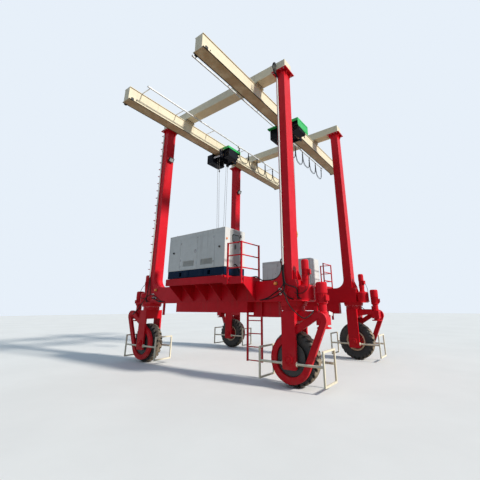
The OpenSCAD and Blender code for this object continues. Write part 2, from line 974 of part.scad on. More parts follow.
// Fixed ring of each slewing bearing
module slewing_rings() {
    color(red)
        for (corner = [A, B, C, D])
            at_corner(corner)
                translate([0, 0, slew_low])
                    rotate_extrude()
                        polygon([[slew_r - slew_hole, 0], [slew_r - 14, 0], [slew_r - 14, 40], [slew_r, 46],
                            [slew_r, sill_low - slew_low], [slew_r - slew_hole, sill_low - slew_low]]);
}

// Boxes and short posts under the sills
module lower_box_set() {
    block(box_x0, box_x1, -sill_face - box_lap, -leg_y + sill_w / 2 - 60, box_low, sill_low);
    block(tank_x0, tank_x1, -leg_y + tank_y[0], -leg_y + tank_y[1], tank_low, sill_low);
}

module lower_boxes() {
    color(red) {
        lower_box_set();
        on_side(1)
            lower_box_set();
        block(stay_b - stay_half, stay_b + stay_half, -leg_y - stay_half, -leg_y + stay_half,
            tank_low, sill_low);
        block(stay_d - stay_half, stay_d + stay_half, leg_y + tank_y[0], leg_y + tank_y[0] + 2 * stay_half,
            stay_low, sill_low);
    }
}

// Black cables held along the frame
module frame_cables() {
    color("black")
        tube(haunch_cable, haunch_cable_r);
}

// Cable loops between the hoist and the far end of each festoon rail
module festoon() {
    tube(festoon_points, festoon_r);
    for (k = [0 : festoon_loops])
        translate([rail_x, festoon_y0 + k * festoon_pitch, rail_z - rail_w / 2])
            block(-carrier_size[0] / 2, carrier_size[0] / 2, -carrier_size[1] / 2, carrier_size[1] / 2,
                rail_w / 2 - carrier_drop - 5, -cable_gap);
}

module festoon_cables() {
    color("black") {
        festoon();
        mirror([1, 0, 0])
            festoon();
    }
}

// Slack cable from the sill to the drive motor of each bogie
module motor_cables() {
    color("black")
        for (corner = [A, B, C, D])
            at_corner(corner)
                tube(slack_points, 12);
}

// Fork of one bogie with its head, two arms, bearing drum, axle and drive bracket
module fork_arm() {
    plate_xz([[-arm_w / 2, arm_end + arm_chamfer], [-arm_w / 2 + arm_chamfer, arm_end],
        [arm_w / 2 - arm_chamfer, arm_end], [arm_w / 2, arm_end + arm_chamfer],
        [arm_w / 2, fork_low + 5], [-arm_w / 2, fork_low + 5]], fork_half - arm_t, arm_t);
    bar_y(0, tyre_r, fork_half, fork_half + hub_plate_t, hub_plate_r);
}

module fork() {
    block(-arm_w / 2, arm_w / 2, -fork_half, fork_half, fork_low, fork_top);
    post(0, 0, fork_top, slew_low - slide_gap, drum_neck);
    for (side = [-1, 1])
        on_side(side)
            fork_arm();
    bar_y(0, tyre_r, -fork_half - hub_plate_t, fork_half + hub_plate_t, axle_r);
    plate_xz([[arm_w / 2 - 5, fork_low + 60], [drive_x - gear_half[0], drive_z + 40],
        [drive_x - gear_half[0], fork_top], [arm_w / 2 - 5, fork_top]], -gear_half[1], 2 * gear_half[1]);
}

module fork_a() {
    color(red)
        at_corner(A)
            fork();
}

module fork_b() {
    color(red)
        at_corner(B)
            fork();
}

module fork_c() {
    color(red)
        at_corner(C)
            fork();
}

module fork_d() {
    color(red)
        at_corner(D)
            fork();
}

// Outline of two circles and the straight runs that touch both of them,
// with the corners of the runs tucked a little inside the circles
module teardrop(r_big, r_small) {
    d = [drive_x, drive_z - tyre_r];
    turn = atan2(d[1], d[0]);
    lean = acos((r_big - r_small) * tuck / norm(d));
    circle(r = r_big);
    translate(d)
        circle(r = r_small);
    polygon([
        r_big * tuck * [cos(turn + lean), sin(turn + lean)],
        d + r_small * tuck * [cos(turn + lean), sin(turn + lean)],
        d + r_small * tuck * [cos(turn - lean), sin(turn - lean)],
        r_big * tuck * [cos(turn - lean), sin(turn - lean)]]);
}

// Drive of one bogie: vertical motor, gearbox and the open chain guard
module drive() {
    rise = motor_low - gear_high;
    translate([0, guard_y1, tyre_r])
        rotate([90, 0, 0])
            linear_extrude(guard_t)
                difference() {
                    teardrop(guard_r, guard_end_r);
                    teardrop(guard_r - guard_w, guard_end_r - guard_w);
                }
    translate([drive_x, 0, 0]) {
        block(-gear_half[0], gear_half[0], -gear_half[1], gear_half[1], gear_low, gear_high);
        translate([0, 0, gear_high])
            rotate_extrude()
                polygon([[0, 0], [115, 0], [115, 30], [95, 45], [95, rise - 60],
                    [drive_r, rise - 30], [drive_r, rise], [0, rise]]);
        translate([0, 0, motor_low])
            finned_motor(drive_r, motor_h, cowl_h);
        translate([0, 0, gear_low])
            rotate_extrude()
                polygon([[0, 0], [90, 0], [90, -40], [dish_r, -52], [dish_r, -80], [0, -80]]);
        bar_y(0, drive_z, guard_y0 + 10, -gear_half[1], shaft_r);
        block(-160, -80, -gear_half[1], -60, fork_top, fork_top + 110);
    }
}

module drive_a() {
    color(red)
        at_corner(A)
            drive();
}

module drive_b() {
    color(red)
        at_corner(B)
            drive();
}

module drive_c() {
    color(red)
        at_corner(C)
            drive();
}

module drive_d() {
    color(red)
        at_corner(D)
            drive();
}

// Square tube bumper frames ahead of and behind a wheel, on flanged push tubes
module bumper() {
    x0 = bumper_x - bumper_t / 2;
    x1 = bumper_x + bumper_t / 2;
    difference() {
        block(x0, x1, -bumper_half, bumper_half, bumper_z0, bumper_z1);
        block(x0 - 1, x1 + 1, bumper_t - bumper_half, bumper_half - bumper_t, bumper_z0 + bumper_t,
            bumper_z1 - bumper_t);
    }
    for (side = [-1, 1]) {
        y = side * (fork_half - arm_t / 2);
        bar_x(y, push_z, arm_w / 2 + push_flange[1], x0, push_r);
        bar_x(y, push_z, arm_w / 2, arm_w / 2 + push_flange[1], push_flange[0]);
    }
}

module bumper_pair() {
    for (end = [-1, 1])
        on_end(end)
            bumper();
}

module bumpers_a() {
    color(cream)
        at_corner(A)
            bumper_pair();
}

module bumpers_b() {
    color(cream)
        at_corner(B)
            bumper_pair();
}

module bumpers_c() {
    color(cream)
        at_corner(C)
            bumper_pair();
}

module bumpers_d() {
    color(cream)
        at_corner(D)
            bumper_pair();
}

// Tyre with slots between the lugs of both shoulders, turned about the axle
module tyre() {
    half = tyre_w / 2;
    translate([0, 0, tyre_r])
        rotate([90, 0, 0])
            difference() {
                rotate_extrude()
                    polygon([[rim_r, bead - half], [rim_r + 60, 8 - half], [rim_r + 150, -half],
                        [tyre_r - 70, 4 - half], [tyre_r - 22, 30 - half], [tyre_r - 4, 80 - half],
                        [tyre_r, 130 - half], [tyre_r, half - 130], [tyre_r - 4, half - 80],
                        [tyre_r - 22, half - 30], [tyre_r - 70, half - 4], [rim_r + 150, half],
                        [rim_r + 60, half - 8], [rim_r, half - bead]]);
                for (face = [-1, 1])
                    mirror([0, 0, face < 0 ? 1 : 0])
                        for (k = [0 : lugs - 1])
                            rotate((k + face / 4) * 360 / lugs)
                                translate([tyre_r - lug_depth, 0, half - lug_len])
                                    rotate([lug_lean, 0, 0])
                                        block(0, 2 * lug_depth, -lug_w / 2, lug_w / 2, 0, 2 * lug_len);
            }
}

module tyre_a() {
    color("black")
        at_corner(A)
            tyre();
}

module tyre_b() {
    color("black")
        at_corner(B)
            tyre();
}

module tyre_c() {
    color("black")
        at_corner(C)
            tyre();
}

module tyre_d() {
    color("black")
        at_corner(D)
            tyre();
}

// Rim, wheel disc, hub and chain disc of one wheel
module rim() {
    bore = axle_r + axle_gap;
    translate([0, 0, tyre_r])
        rotate([90, 0, 0])
            rotate_extrude()
                polygon([[bore, -225], [110, -225], [110, -40], [rim_r - 25, -20], [rim_r - 25, -138],
                    [rim_r, -138], [rim_r, 138], [rim_r - 25, 138], [rim_r - 25, 20], [110, 0],
                    [110, 215], [disc_r, 215], [disc_r, 235], [bore, 235]]);
}

module rim_a() {
    color(red)
        at_corner(A)
            rim();
}

module rim_b() {
    color(red)
        at_corner(B)
            rim();
}

module rim_c() {
    color(red)
        at_corner(C)
            rim();
}

module rim_d() {
    color(red)
        at_corner(D)
            rim();
}

// Hoist trolley: side plates with wheels, tie tubes, sheave frame and the control box beside the beam
module side_plate() {
    lug0 = wheel_ys[0] + plate_lug / 2;
    lug1 = wheel_ys[1] - plate_lug / 2;
    plate_yz([[trolley_y0, plate_low + 80], [trolley_y0 + 50, plate_low], [lug0 - 40, plate_low],
        [lug0, plate_low + 60], [lug0, plate_arch - 50], [lug0 + 50, plate_arch], [lug1 - 50, plate_arch],
        [lug1, plate_arch - 50], [lug1, plate_low + 60], [lug1 + 40, plate_low],
        [trolley_y1 - 50, plate_low], [trolley_y1, plate_low + 80], [trolley_y1, plate_high - 60],
        [trolley_y1 - 60, plate_high],
        [trolley_y0 + 60, plate_high], [trolley_y0, plate_high - 60]], plate_x, plate_t);
    for (y = wheel_ys)
        translate([plate_x, y, flange_top + wheel_rise])
            rotate([0, -90, 0])
                rotate_extrude()
                    polygon([[0, 0], [wheel_lip, 4], [wheel_lip, 12], [wheel_r, 15.5],
                        [wheel_r, plate_x - runway_web / 2 - 14], [0, plate_x - runway_web / 2 - 14]]);
}

module sheave(y) {
    bar_x(y, sheave_z, -cheek_x, cheek_x, 22);
    for (end = [-1, 1])
        bar_x(y, sheave_z, end * sheave_x - sheave_t / 2, end * sheave_x + sheave_t / 2,
            sheave_top_r - rope_r - cable_gap);
}

module hoist() {
    for (end = [-1, 1])
        on_end(end) {
            side_plate();
            block(cheek_x, cheek_x + cheek_t, rope_out[0] + 30, rope_out[1] - 30,
                sheave_z - 50, tie_z + tie_r);
        }
    for (y = wheel_ys)
        bar_x(y, tie_z, -plate_x, plate_x, tie_r);
    block(-120, 120, wheel_ys[0], wheel_ys[1], tie_z + tie_r - 5, tie_z + tie_r + 25);
    sheave(rope_out[0] + sheave_top_r);
    sheave(rope_out[1] - sheave_top_r);
    block(-control_x, -plate_out, control_y0, control_y1, control_low, control_high);
}

// Hoist drive under the hood: housing, grooved drum end, gear case, hoist motor and travel gearmotor
module machinery() {
    housing_y0 = hood_y0 + hood_lap;
    housing_y1 = housing_y0 + housing_l;
    case_y1 = housing_y1 + case_t;
    travel_z = flange_top + wheel_rise;
    difference() {
        block(plate_out, hood_x - 20, housing_y0, housing_y1, housing_low, hood_z);
        bar_y(drum_x, drum_z, housing_y0 - 1, housing_y0 + drum_in, drum_r);
    }
    translate([drum_x, housing_y0 + drum_in, drum_z])
        rotate([90, 0, 0])
            rotate_extrude()
                polygon([[0, 0], [drum_r - 30, 0], [drum_r - 30, 20], [60, 30], [30, 34], [0, 34]]);
    block(plate_out + 60, hood_x - 50, housing_y1, case_y1, housing_low + 20, hood_z - 120);
    translate([motor_x, case_y1, motor_z])
        rotate([-90, 0, 0])
            finned_motor(hoist_motor_r, 60, 50);
    bar_x(wheel_ys[1], travel_z, plate_out, plate_out + travel_gear, 60);
    translate([plate_out + travel_gear, wheel_ys[1], travel_z])
        rotate([0, 90, 0])
            finned_motor(54, 90, 50);
    block(plate_out + 80, plate_out + 150, wheel_ys[1] - 20, wheel_ys[1] + 45,
        travel_z + 40, travel_z + 95);
}

// Hood over the drive: roof, end lips and a side panel with a cut front corner
module hood(side_h) {
    x0 = runway_web / 2 + 20;
    y1 = hood_y0 + hood_l;
    block(x0, hood_x, hood_y0, y1, hood_z, hood_z + hood_t);
    plate_yz([[hood_y0, hood_z], [y1, hood_z], [y1, hood_z - side_h],
        [hood_y0 + 60, hood_z - side_h * 0.87], [hood_y0, hood_z - side_h * 0.75]], hood_x - hood_t, hood_t);
    for (y = [hood_y0, y1 - hood_t])
        block(plate_out + 30, hood_x - hood_t, y, y + hood_t, hood_z - hood_lip, hood_z);
}

// Roof over the control box, longer than the box at its near end
module box_hood() {
    block(-hood_back_x, -plate_out, hood_back_y0, control_y1 + 20, control_high, control_high + hood_t);
    for (x = [-hood_back_x, -plate_out - hood_t])
        block(x, x + hood_t, hood_back_y0, control_y0 - 5, control_high - 45, control_high);
    block(-hood_back_x, -plate_out, hood_back_y0 - hood_t, hood_back_y0,
        control_high - 45, control_high + hood_t);
}

module at_beam(end) {
    translate([end * runway_x, hoist_y, 0])
        children();
}

module hoist_1() {
    color(dark)
        at_beam(-1)
            hoist();
}

module hoist_2() {
    color(dark)
        at_beam(1)
            hoist();
}

module machinery_1() {
    color(dark)
        at_beam(-1)
            machinery();
}

module machinery_2() {
    color(dark)
        at_beam(1)
            machinery();
}

module hood_1() {
    color(green)
        at_beam(-1)
            hood(hood_side_1);
}

module hood_2() {
    color(green)
        at_beam(1) {
            hood(hood_side_2);
            box_hood();
        }
}

// Ropes from the sheave frame to the hook block
module ropes() {
    for (end = [-1, 1]) {
        tube([[end * sheave_x, rope_out[0], sheave_z], [end * sheave_x, -hook_sheave_r, hook_z]], rope_r);
        tube([[end * sheave_x, rope_out[1], sheave_z], [end * sheave_x, hook_sheave_r, hook_z]], rope_r);
    }
}

module ropes_1() {
    color("black")
        at_beam(-1)
            ropes();
}

module ropes_2() {
    color("black")
        at_beam(1)
            ropes();
}

// Hook block with its cheeks, sheaves, swivel and hook
module hook() {
    for (end = [-1, 1])
        on_end(end)
            bar_x(0, hook_z, cheek_x, cheek_x + cheek_t, cheek_r);
    bar_x(0, hook_z, -cheek_x - cheek_t, cheek_x + cheek_t, 30);
    for (end = [-1, 1])
        bar_x(0, hook_z, end * sheave_x - sheave_t / 2, end * sheave_x + sheave_t / 2,
            hook_sheave_r - rope_r - 0.5);
    block(-cheek_x - 2, cheek_x + 2, -50, 50, hook_z - 260, hook_z - 150);
    translate([0, 0, hook_z - 400])
        rotate([90, 0, 0])
            rotate_extrude(angle = 300)
                translate([70, 0])
                    circle(r = 20);
    post(0, 0, hook_z - 330, hook_z - 255, 20);
}

module hook_1() {
    color("goldenrod")
        at_beam(-1)
            hook();
}

module hook_2() {
    color("goldenrod")
        at_beam(1)
            hook();
}

near_sill();
far_sill();
near_legs();
far_legs();
cross_beams();
runway_beam_1();
runway_beam_2();
festoon_rails();
platforms();
generator_base();
generator_canopy();
far_cabinet();
near_handrail();
far_handrail();
access_ladder();
leg_rungs();
lamps();
beacons();
conduits();
steering_gearmotors();
slewing_rings();
lower_boxes();
frame_cables();
festoon_cables();
motor_cables();
fork_a();
fork_b();
fork_c();
fork_d();
drive_a();
drive_b();
drive_c();
drive_d();
bumpers_a();
bumpers_b();
bumpers_c();
bumpers_d();
tyre_a();
tyre_b();
tyre_c();
tyre_d();
rim_a();
rim_b();
rim_c();
rim_d();
hoist_1();
hoist_2();
machinery_1();
machinery_2();
hood_1();
hood_2();
ropes_1();
ropes_2();
hook_1();
hook_2();
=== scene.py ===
"""Looks for the rubber tyred gantry crane: paint, tyres, bolts, ropes, cables and fittings on its frame."""

import json
import math

import bpy
import numpy as np
from bpy.props import FloatProperty, FloatVectorProperty, IntProperty, PointerProperty
from mathutils import Euler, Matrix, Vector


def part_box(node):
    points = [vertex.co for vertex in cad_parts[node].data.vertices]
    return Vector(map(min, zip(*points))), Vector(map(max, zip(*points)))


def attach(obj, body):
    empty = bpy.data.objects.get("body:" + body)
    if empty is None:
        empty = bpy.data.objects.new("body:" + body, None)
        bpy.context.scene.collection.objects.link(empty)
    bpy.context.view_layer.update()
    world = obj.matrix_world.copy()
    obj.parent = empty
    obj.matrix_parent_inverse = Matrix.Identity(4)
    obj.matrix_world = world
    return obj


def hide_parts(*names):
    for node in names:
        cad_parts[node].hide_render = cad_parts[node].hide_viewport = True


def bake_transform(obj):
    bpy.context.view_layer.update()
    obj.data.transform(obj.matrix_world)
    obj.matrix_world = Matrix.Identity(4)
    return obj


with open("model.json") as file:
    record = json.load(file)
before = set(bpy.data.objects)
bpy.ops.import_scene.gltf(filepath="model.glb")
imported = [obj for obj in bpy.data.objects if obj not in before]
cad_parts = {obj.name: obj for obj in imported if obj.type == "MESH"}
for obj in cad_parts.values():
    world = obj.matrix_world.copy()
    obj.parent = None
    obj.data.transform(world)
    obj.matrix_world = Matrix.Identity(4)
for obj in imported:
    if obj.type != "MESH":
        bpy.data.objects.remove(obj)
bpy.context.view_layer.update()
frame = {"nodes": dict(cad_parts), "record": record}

bl_info = {
    "name": "Gantry Crane Finish",
    "version": (1, 0, 0),
    "blender": (4, 5, 0),
    "location": "View3D > Sidebar > Crane",
    "description": "Adds paint, tyres, fasteners, ropes, cables and fittings to the gantry crane",
    "category": "Object",
}

# Places and sizes that the frame is built to, in metres; those of the runway are for the +X beam
LEG = (2.875, 2.275)
LEG_HALF = (0.15, 0.19)
LEG_TOP = 9.16
PLATE = 0.05  # thickness of a leg's top plate
STEER = (2.95, 2.3)  # steering axis
AXLE_Z = 0.62
DRIVE_X, DRIVE_Z = 0.78, 1.49  # drive motor's axis from the steering axis, and its shaft
GUARD_Y = -0.275  # outer face of the chain guard
SILL_LOW, SILL_TOP, SILL_FACE = 1.92, 2.46, 2.465
SLEWING_TOP = SILL_LOW + 0.03  # top of the plate that carries the slewing ring and its gearmotor
DECK_Z = 2.635
CANOPY_FRONT, CANOPY_BACK = -3.025, -2.105
CANOPY_START, CANOPY_END = -1.25, 1.20
PIPE_Y = -2.489  # axis of the pipes up the near legs
RUNWAY_X, RUNWAY_TOP, RUNWAY_LOW = 1.77, 9.055, 8.55
FLANGE_TOP = 8.575  # track of the hoist's wheels
HANGER_HALF = (0.15, 0.2)
SPLIT = RUNWAY_TOP + 0.0645  # joint between the halves of a hanger block
RAIL_OFF = 0.665  # festoon rail from its beam's middle
RAIL_X, RAIL_Z = RUNWAY_X - RAIL_OFF, RUNWAY_TOP - 0.025
RAIL_ENDS = (-4.622, 4.902)
TIE_Z = RUNWAY_LOW - 0.15  # tie rods below the hoist
ROPE_TOP = RUNWAY_LOW - 0.215
HOOK_Z = 4.30  # sheave axis of the hook block
CORNERS = {"a": (1, -1), "b": (-1, -1), "c": (-1, 1), "d": (1, 1)}
HOISTS = ((1, -1), (2, 1))

# Directions as seen from the near side
RIGHT, LEFT, FAR, NEAR, UP, DOWN = (1, 0, 0), (-1, 0, 0), (0, 1, 0), (0, -1, 0), (0, 0, 1), (0, 0, -1)

# Material slot of each finish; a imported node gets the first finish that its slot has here
SLOTS = {
    "red": "red_paint", "cream": "cream_paint", "white": "white_paint", "navy": "navy_paint",
    "green": "green_paint", "dark": "dark_steel", "yellow": "yellow_paint", "steel": "bare_steel",
    "rail": "rail_metal", "black": "black_plastic", "pipe": "pipe_plastic", "amber": "amber_plastic",
    "tyre": "tyre_rubber", "rope": "rope_steel", "cable": "cable_rubber", "zinc": "bare_steel",
    "door": "white_paint", "rim": "red_paint", "glass": "black_plastic", "lens": "pipe_plastic",
    "floor": "cream_paint",
}
FINISHES = {}

ASKEW = (0.13, 0.21, 0.97)  # up for tubes, a direction that no route follows
EVEN = 400.0  # length of a blend so long that it is even over any piece


# Shapes: each is a pair of an (n, 3) array of points and a list of face arrays


def grid_faces(rows, cols, loop_rows=False, loop_cols=False):
    """Quads between the points of a grid numbered row by row; either direction can close on itself."""
    r = np.arange(rows if loop_rows else rows - 1)[:, None]
    c = np.arange(cols if loop_cols else cols - 1)[None, :]
    r2, c2 = (r + 1) % rows, (c + 1) % cols
    return np.stack([r * cols + c, r * cols + c2, r2 * cols + c2, r2 * cols + c], -1).reshape(-1, 4)


def capped(rings):
    """Closed skin over a stack of rings (rows, cols, 3), each counter-clockwise seen from the last one."""
    rows, cols = rings.shape[:2]
    low = np.arange(cols)[::-1][None]
    high = np.arange(cols)[None] + (rows - 1) * cols
    return rings.reshape(-1, 3), [grid_faces(rows, cols, False, True), low, high]


def lathe(profile, sides=24, closed=False):
    """Profile of (radius, height) turned about Z: (r cos a, r sin a, h), flat ended or closed as a ring."""
    profile = np.asarray(profile, float)
    a = np.linspace(0, 2 * np.pi, sides, endpoint=False)
    rings = np.stack([profile[:, :1] * np.cos(a), profile[:, :1] * np.sin(a),
                      np.repeat(profile[:, 1:], sides, 1)], -1)
    if not closed:
        return capped(rings)
    return rings.reshape(-1, 3), [grid_faces(len(profile), sides, True, True)]


def rounded(inner, radius, steps):
    """Rectangle with round corners in X and Y: inner corner plus radius * (cos a, sin a) in each quarter."""
    a = (np.arange(4)[:, None] * np.pi / 2 + np.radians(np.linspace(0, 90, steps))).ravel()
    x, y = np.repeat([1, -1, -1, 1], steps), np.repeat([1, 1, -1, -1], steps)
    return np.stack([x * inner[0] + radius * np.cos(a), y * inner[1] + radius * np.sin(a)], -1)


def slab(low, high, bevel=0.004, corner=None):
    """Rounded rectangle in X and Y carried up Z, drawn in by the bevel at both ends."""
    low, high = np.asarray(low, float), np.asarray(high, float)
    radius = corner or 1.6 * bevel
    bevel = min(bevel, 0.45 * float(min(high - low)))
    radius = min(max(radius, 1.2 * bevel), 0.49 * float(min((high - low)[:2])))
    middle, half = (low + high)[:2] / 2, (high - low)[:2] / 2 - radius
    stations = [(low[2], bevel), (low[2] + bevel, 0), (high[2] - bevel, 0), (high[2], bevel)]
    return capped(np.array([np.column_stack([middle + rounded(half, radius - inset, 4), np.full(16, z)])
                            for z, inset in stations]))


def smooth_route(points, steps=6):
    """Cubic through the points: each span weighs its four nearest points by powers of its own parameter."""
    p = np.asarray(points, float)
    p = np.vstack([2 * p[0] - p[1], p, 2 * p[-1] - p[-2]])
    t = np.linspace(0, 1, steps, endpoint=False)[None, :, None]
    a, b, c, d = (p[i:len(p) - 3 + i][:, None] for i in range(4))
    spans = 0.5 * (2 * b + (c - a) * t + (2 * a - 5 * b + 4 * c - d) * t ** 2
                   + (3 * b - a - 3 * c + d) * t ** 3)
    return np.vstack([spans.reshape(-1, 3), p[-2:-1]])


def unit(v):
    """Vectors scaled to length one along the last axis."""
    v = np.asarray(v, float)
    return v / np.maximum(np.linalg.norm(v, axis=-1, keepdims=True), 1e-12)


def carried(path, profile, up, closed=False):
    """Profile of (side, up) pairs carried along a path: p + side * s + up * u, square to its direction."""
    path, profile = np.asarray(path, float), np.asarray(profile, float)
    if closed:
        ahead = unit(np.roll(path, -1, 0) - np.roll(path, 1, 0))
    else:
        ahead = unit(np.gradient(path, axis=0))
    side = unit(np.cross(ahead, up))
    rise = np.cross(side, ahead)
    rings = path[:, None] + profile[None, :, :1] * side[:, None] + profile[None, :, 1:] * rise[:, None]
    if not closed:
        return capped(rings)
    return rings.reshape(-1, 3), [grid_faces(len(path), len(profile), True, True)]


def round_profile(radius, sides=10):
    """Circle of points, clockwise, so that a carried tube faces outwards."""
    a = -np.linspace(0, 2 * np.pi, sides, endpoint=False)
    return radius * np.stack([np.cos(a), np.sin(a)], -1)


def tube(path, radius, sides=10, up=ASKEW):
    """Circle carried along a path, with flat ends."""
    return carried(path, round_profile(radius, sides), up)


def turned(shape, matrix):
    """Shape with each point multiplied by a 3 by 3 matrix; a mirroring matrix also reverses the faces."""
    points, faces = shape
    matrix = np.asarray(matrix, float)
    if np.linalg.det(matrix) < 0:
        faces = [f[:, ::-1] for f in faces]
    return points @ matrix.T, faces


def stretched(shape, x=1, y=1, z=1):
    """Shape stretched along each axis; a factor of -1 mirrors it."""
    return turned(shape, np.diag([x, y, z]))


def moved(shape, offset):
    """Shape shifted by an offset."""
    return shape[0] + np.asarray(offset, float), shape[1]


def joined(*shapes):
    """Shapes gathered into one, the later ones numbered on from the earlier."""
    points, faces, count = [], [], 0
    for p, f in shapes:
        points.append(p)
        faces += [g + count for g in f]
        count += len(p)
    return np.vstack(points), faces


def copied(shape, matrices, offsets):
    """Copies of a shape, each turned by its own matrix and shifted by its own offset, worked out together."""
    points, faces = shape
    offsets = np.asarray(offsets, float).reshape(-1, 3)
    matrices = np.broadcast_to(np.asarray(matrices, float), (len(offsets), 3, 3))
    flip = np.linalg.det(matrices[0]) < 0
    out = np.einsum("nij,pj->npi", matrices, points) + offsets[:, None]
    shift = (np.arange(len(offsets)) * len(points))[:, None, None]
    return out.reshape(-1, 3), [((f[:, ::-1] if flip else f)[None] + shift).reshape(-1, f.shape[1])
                                for f in faces]


def facing(direction, up=UP):
    """Matrices that turn +Z to each direction, with +Y kept near up."""
    z = unit(np.atleast_2d(np.asarray(direction, float)))
    near = np.where(np.abs(z @ unit(up))[:, None] > 0.98, np.array([0.0, 1.0, 0.0]), unit(up))
    x = unit(np.cross(near, z))
    return np.stack([x, np.cross(z, x), z], -1)


def towards(shape, direction, at, up=UP):
    """Shape drawn along +Z, turned to a direction and put at a place."""
    return moved(turned(shape, facing(direction, up)[0]), at)


def bolt_head(size=0.012):
    """Hexagon head with a chamfer on a round washer, along +Z; size is half the width over its corners."""
    head = lathe([(size, 0.2 * size), (size, 0.8 * size), (0.8 * size, size)], 6)
    return joined(lathe([(1.35 * size, 0), (1.35 * size, 0.2 * size)], 12), head)


def bolts(places, direction, size=0.012):
    """One bolt head at each place, all standing along one direction."""
    return copied(bolt_head(size), facing(direction), places)


def circle(radius, count, start=0.0, span=360.0):
    """Points evenly round a circle in X and Y."""
    a = np.radians(start + np.arange(count) * span / count)
    return np.stack([radius * np.cos(a), radius * np.sin(a), np.zeros(count)], -1)


def bolt_circle(radius, count, height, size, start=0.0):
    """Bolt heads standing up along +Z, evenly round Z at a height."""
    return bolts(circle(radius, count, start) + (0, 0, height), UP, size)


def at_corner(shape, corner):
    """Shape drawn from the steering axis of corner a, mirrored to another corner and moved to its axis."""
    sx, sy = CORNERS[corner]
    return moved(stretched(shape, sx, -sy), (sx * STEER[0], sy * STEER[1], 0))


def both_ends(shape):
    """Shape and its mirror image across X = 0."""
    return joined(shape, stretched(shape, x=-1))


def both_sides(shape):
    """Shape and its mirror image across Y = 0."""
    return joined(shape, stretched(shape, y=-1))


def over_hoist(shape, side):
    """Shape drawn about Z, moved to the runway beam on one side."""
    return moved(shape, (side * RUNWAY_X, 0, 0))


def piece(name, shape, finish, sharp=35, attribute=None):
    """Mesh object of a shape, smooth but for edges sharper than the angle, with its finish."""
    points, faces = shape
    mesh = bpy.data.meshes.new(name)
    corners = np.concatenate([f.ravel() for f in faces])
    sizes = np.concatenate([np.full(len(f), f.shape[1]) for f in faces])
    mesh.vertices.add(len(points))
    mesh.vertices.foreach_set("co", np.ascontiguousarray(points, np.float32).ravel())
    mesh.loops.add(len(corners))
    mesh.loops.foreach_set("vertex_index", corners.astype(np.int32))
    mesh.polygons.add(len(sizes))
    mesh.polygons.foreach_set("loop_start", np.concatenate([[0], np.cumsum(sizes)[:-1]]).astype(np.int32))
    mesh.polygons.foreach_set("use_smooth", np.ones(len(sizes), bool))
    mesh.update(calc_edges=True)
    mesh.set_sharp_from_angle(angle=math.radians(sharp))
    if attribute is not None:
        layer = mesh.attributes.new("route", "FLOAT_VECTOR", "POINT")
        layer.data.foreach_set("vector", np.ascontiguousarray(attribute, np.float32).ravel())
    mesh.materials.append(FINISHES[finish])
    made = bpy.data.objects.new(name, mesh)
    bpy.context.scene.collection.objects.link(made)
    return made


def on_frame(name, shape, finish, **more):
    """Piece that rides on the crane's frame."""
    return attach(piece(name, shape, finish, **more), "frame")


# Finishes


class Number:
    """A socket of a node tree, so that arithmetic written on it adds the Math nodes."""

    def __init__(self, tree, socket):
        self.tree, self.socket = tree, socket

    def math(self, operation, *terms):
        """Math node of this operation on this value and the terms."""
        return self.tree.add("Math", {"operation": operation}, dict(enumerate((self, *terms))))

    def __add__(self, other):
        return self.math("ADD", other)

    def __mul__(self, other):
        return self.math("MULTIPLY", other)

    def __sub__(self, other):
        return self.math("SUBTRACT", other)

    def __rsub__(self, other):
        return self.tree.add("Math", {"operation": "SUBTRACT"}, {0: other, 1: self})

    __radd__ = __add__
    __rmul__ = __mul__

    def __abs__(self):
        return self.math("ABSOLUTE")

    def __pow__(self, power):
        return self.math("POWER", power)

    def sine(self):
        """Sine of an angle in radians."""
        return self.math("SINE")

    def rise(self, low, high):
        """Smooth step from 0 at low to 1 at high; low may be the larger."""
        return self.tree.add("MapRange", {"interpolation_type": "SMOOTHSTEP"},
                             {"Value": self, "From Min": low, "From Max": high})


class Tree:
    """Nodes of one material or world."""

    def __init__(self, owner):
        owner.use_nodes = True
        self.nodes, self.links = owner.node_tree.nodes, owner.node_tree.links
        self.nodes.clear()

    def add(self, kind, settings=None, values=None, out=0):
        """Node of a kind: settings first, then the values or links of its inputs; gives an output, if any."""
        node = self.nodes.new("ShaderNode" + kind)
        for key, value in (settings or {}).items():
            setattr(node, key, value)
        for key, value in (values or {}).items():
            if isinstance(value, Number):
                self.links.new(value.socket, node.inputs[key])
            else:
                node.inputs[key].default_value = value
        return None if out is None else Number(self, node.outputs[out])

    def along(self, vector):
        """The three parts of a vector."""
        first = self.add("SeparateXYZ", None, {0: vector})
        return [Number(self, output) for output in first.socket.node.outputs]

    def seen(self):
        """1 for the rays of the camera, of reflections and of glass, 0 for the light that surfaces share."""
        rays = [self.add("LightPath", out=f"Is {ray} Ray") for ray in ("Camera", "Glossy", "Transmission")]
        return rays[0].math("MAXIMUM", rays[1]).math("MAXIMUM", rays[2])


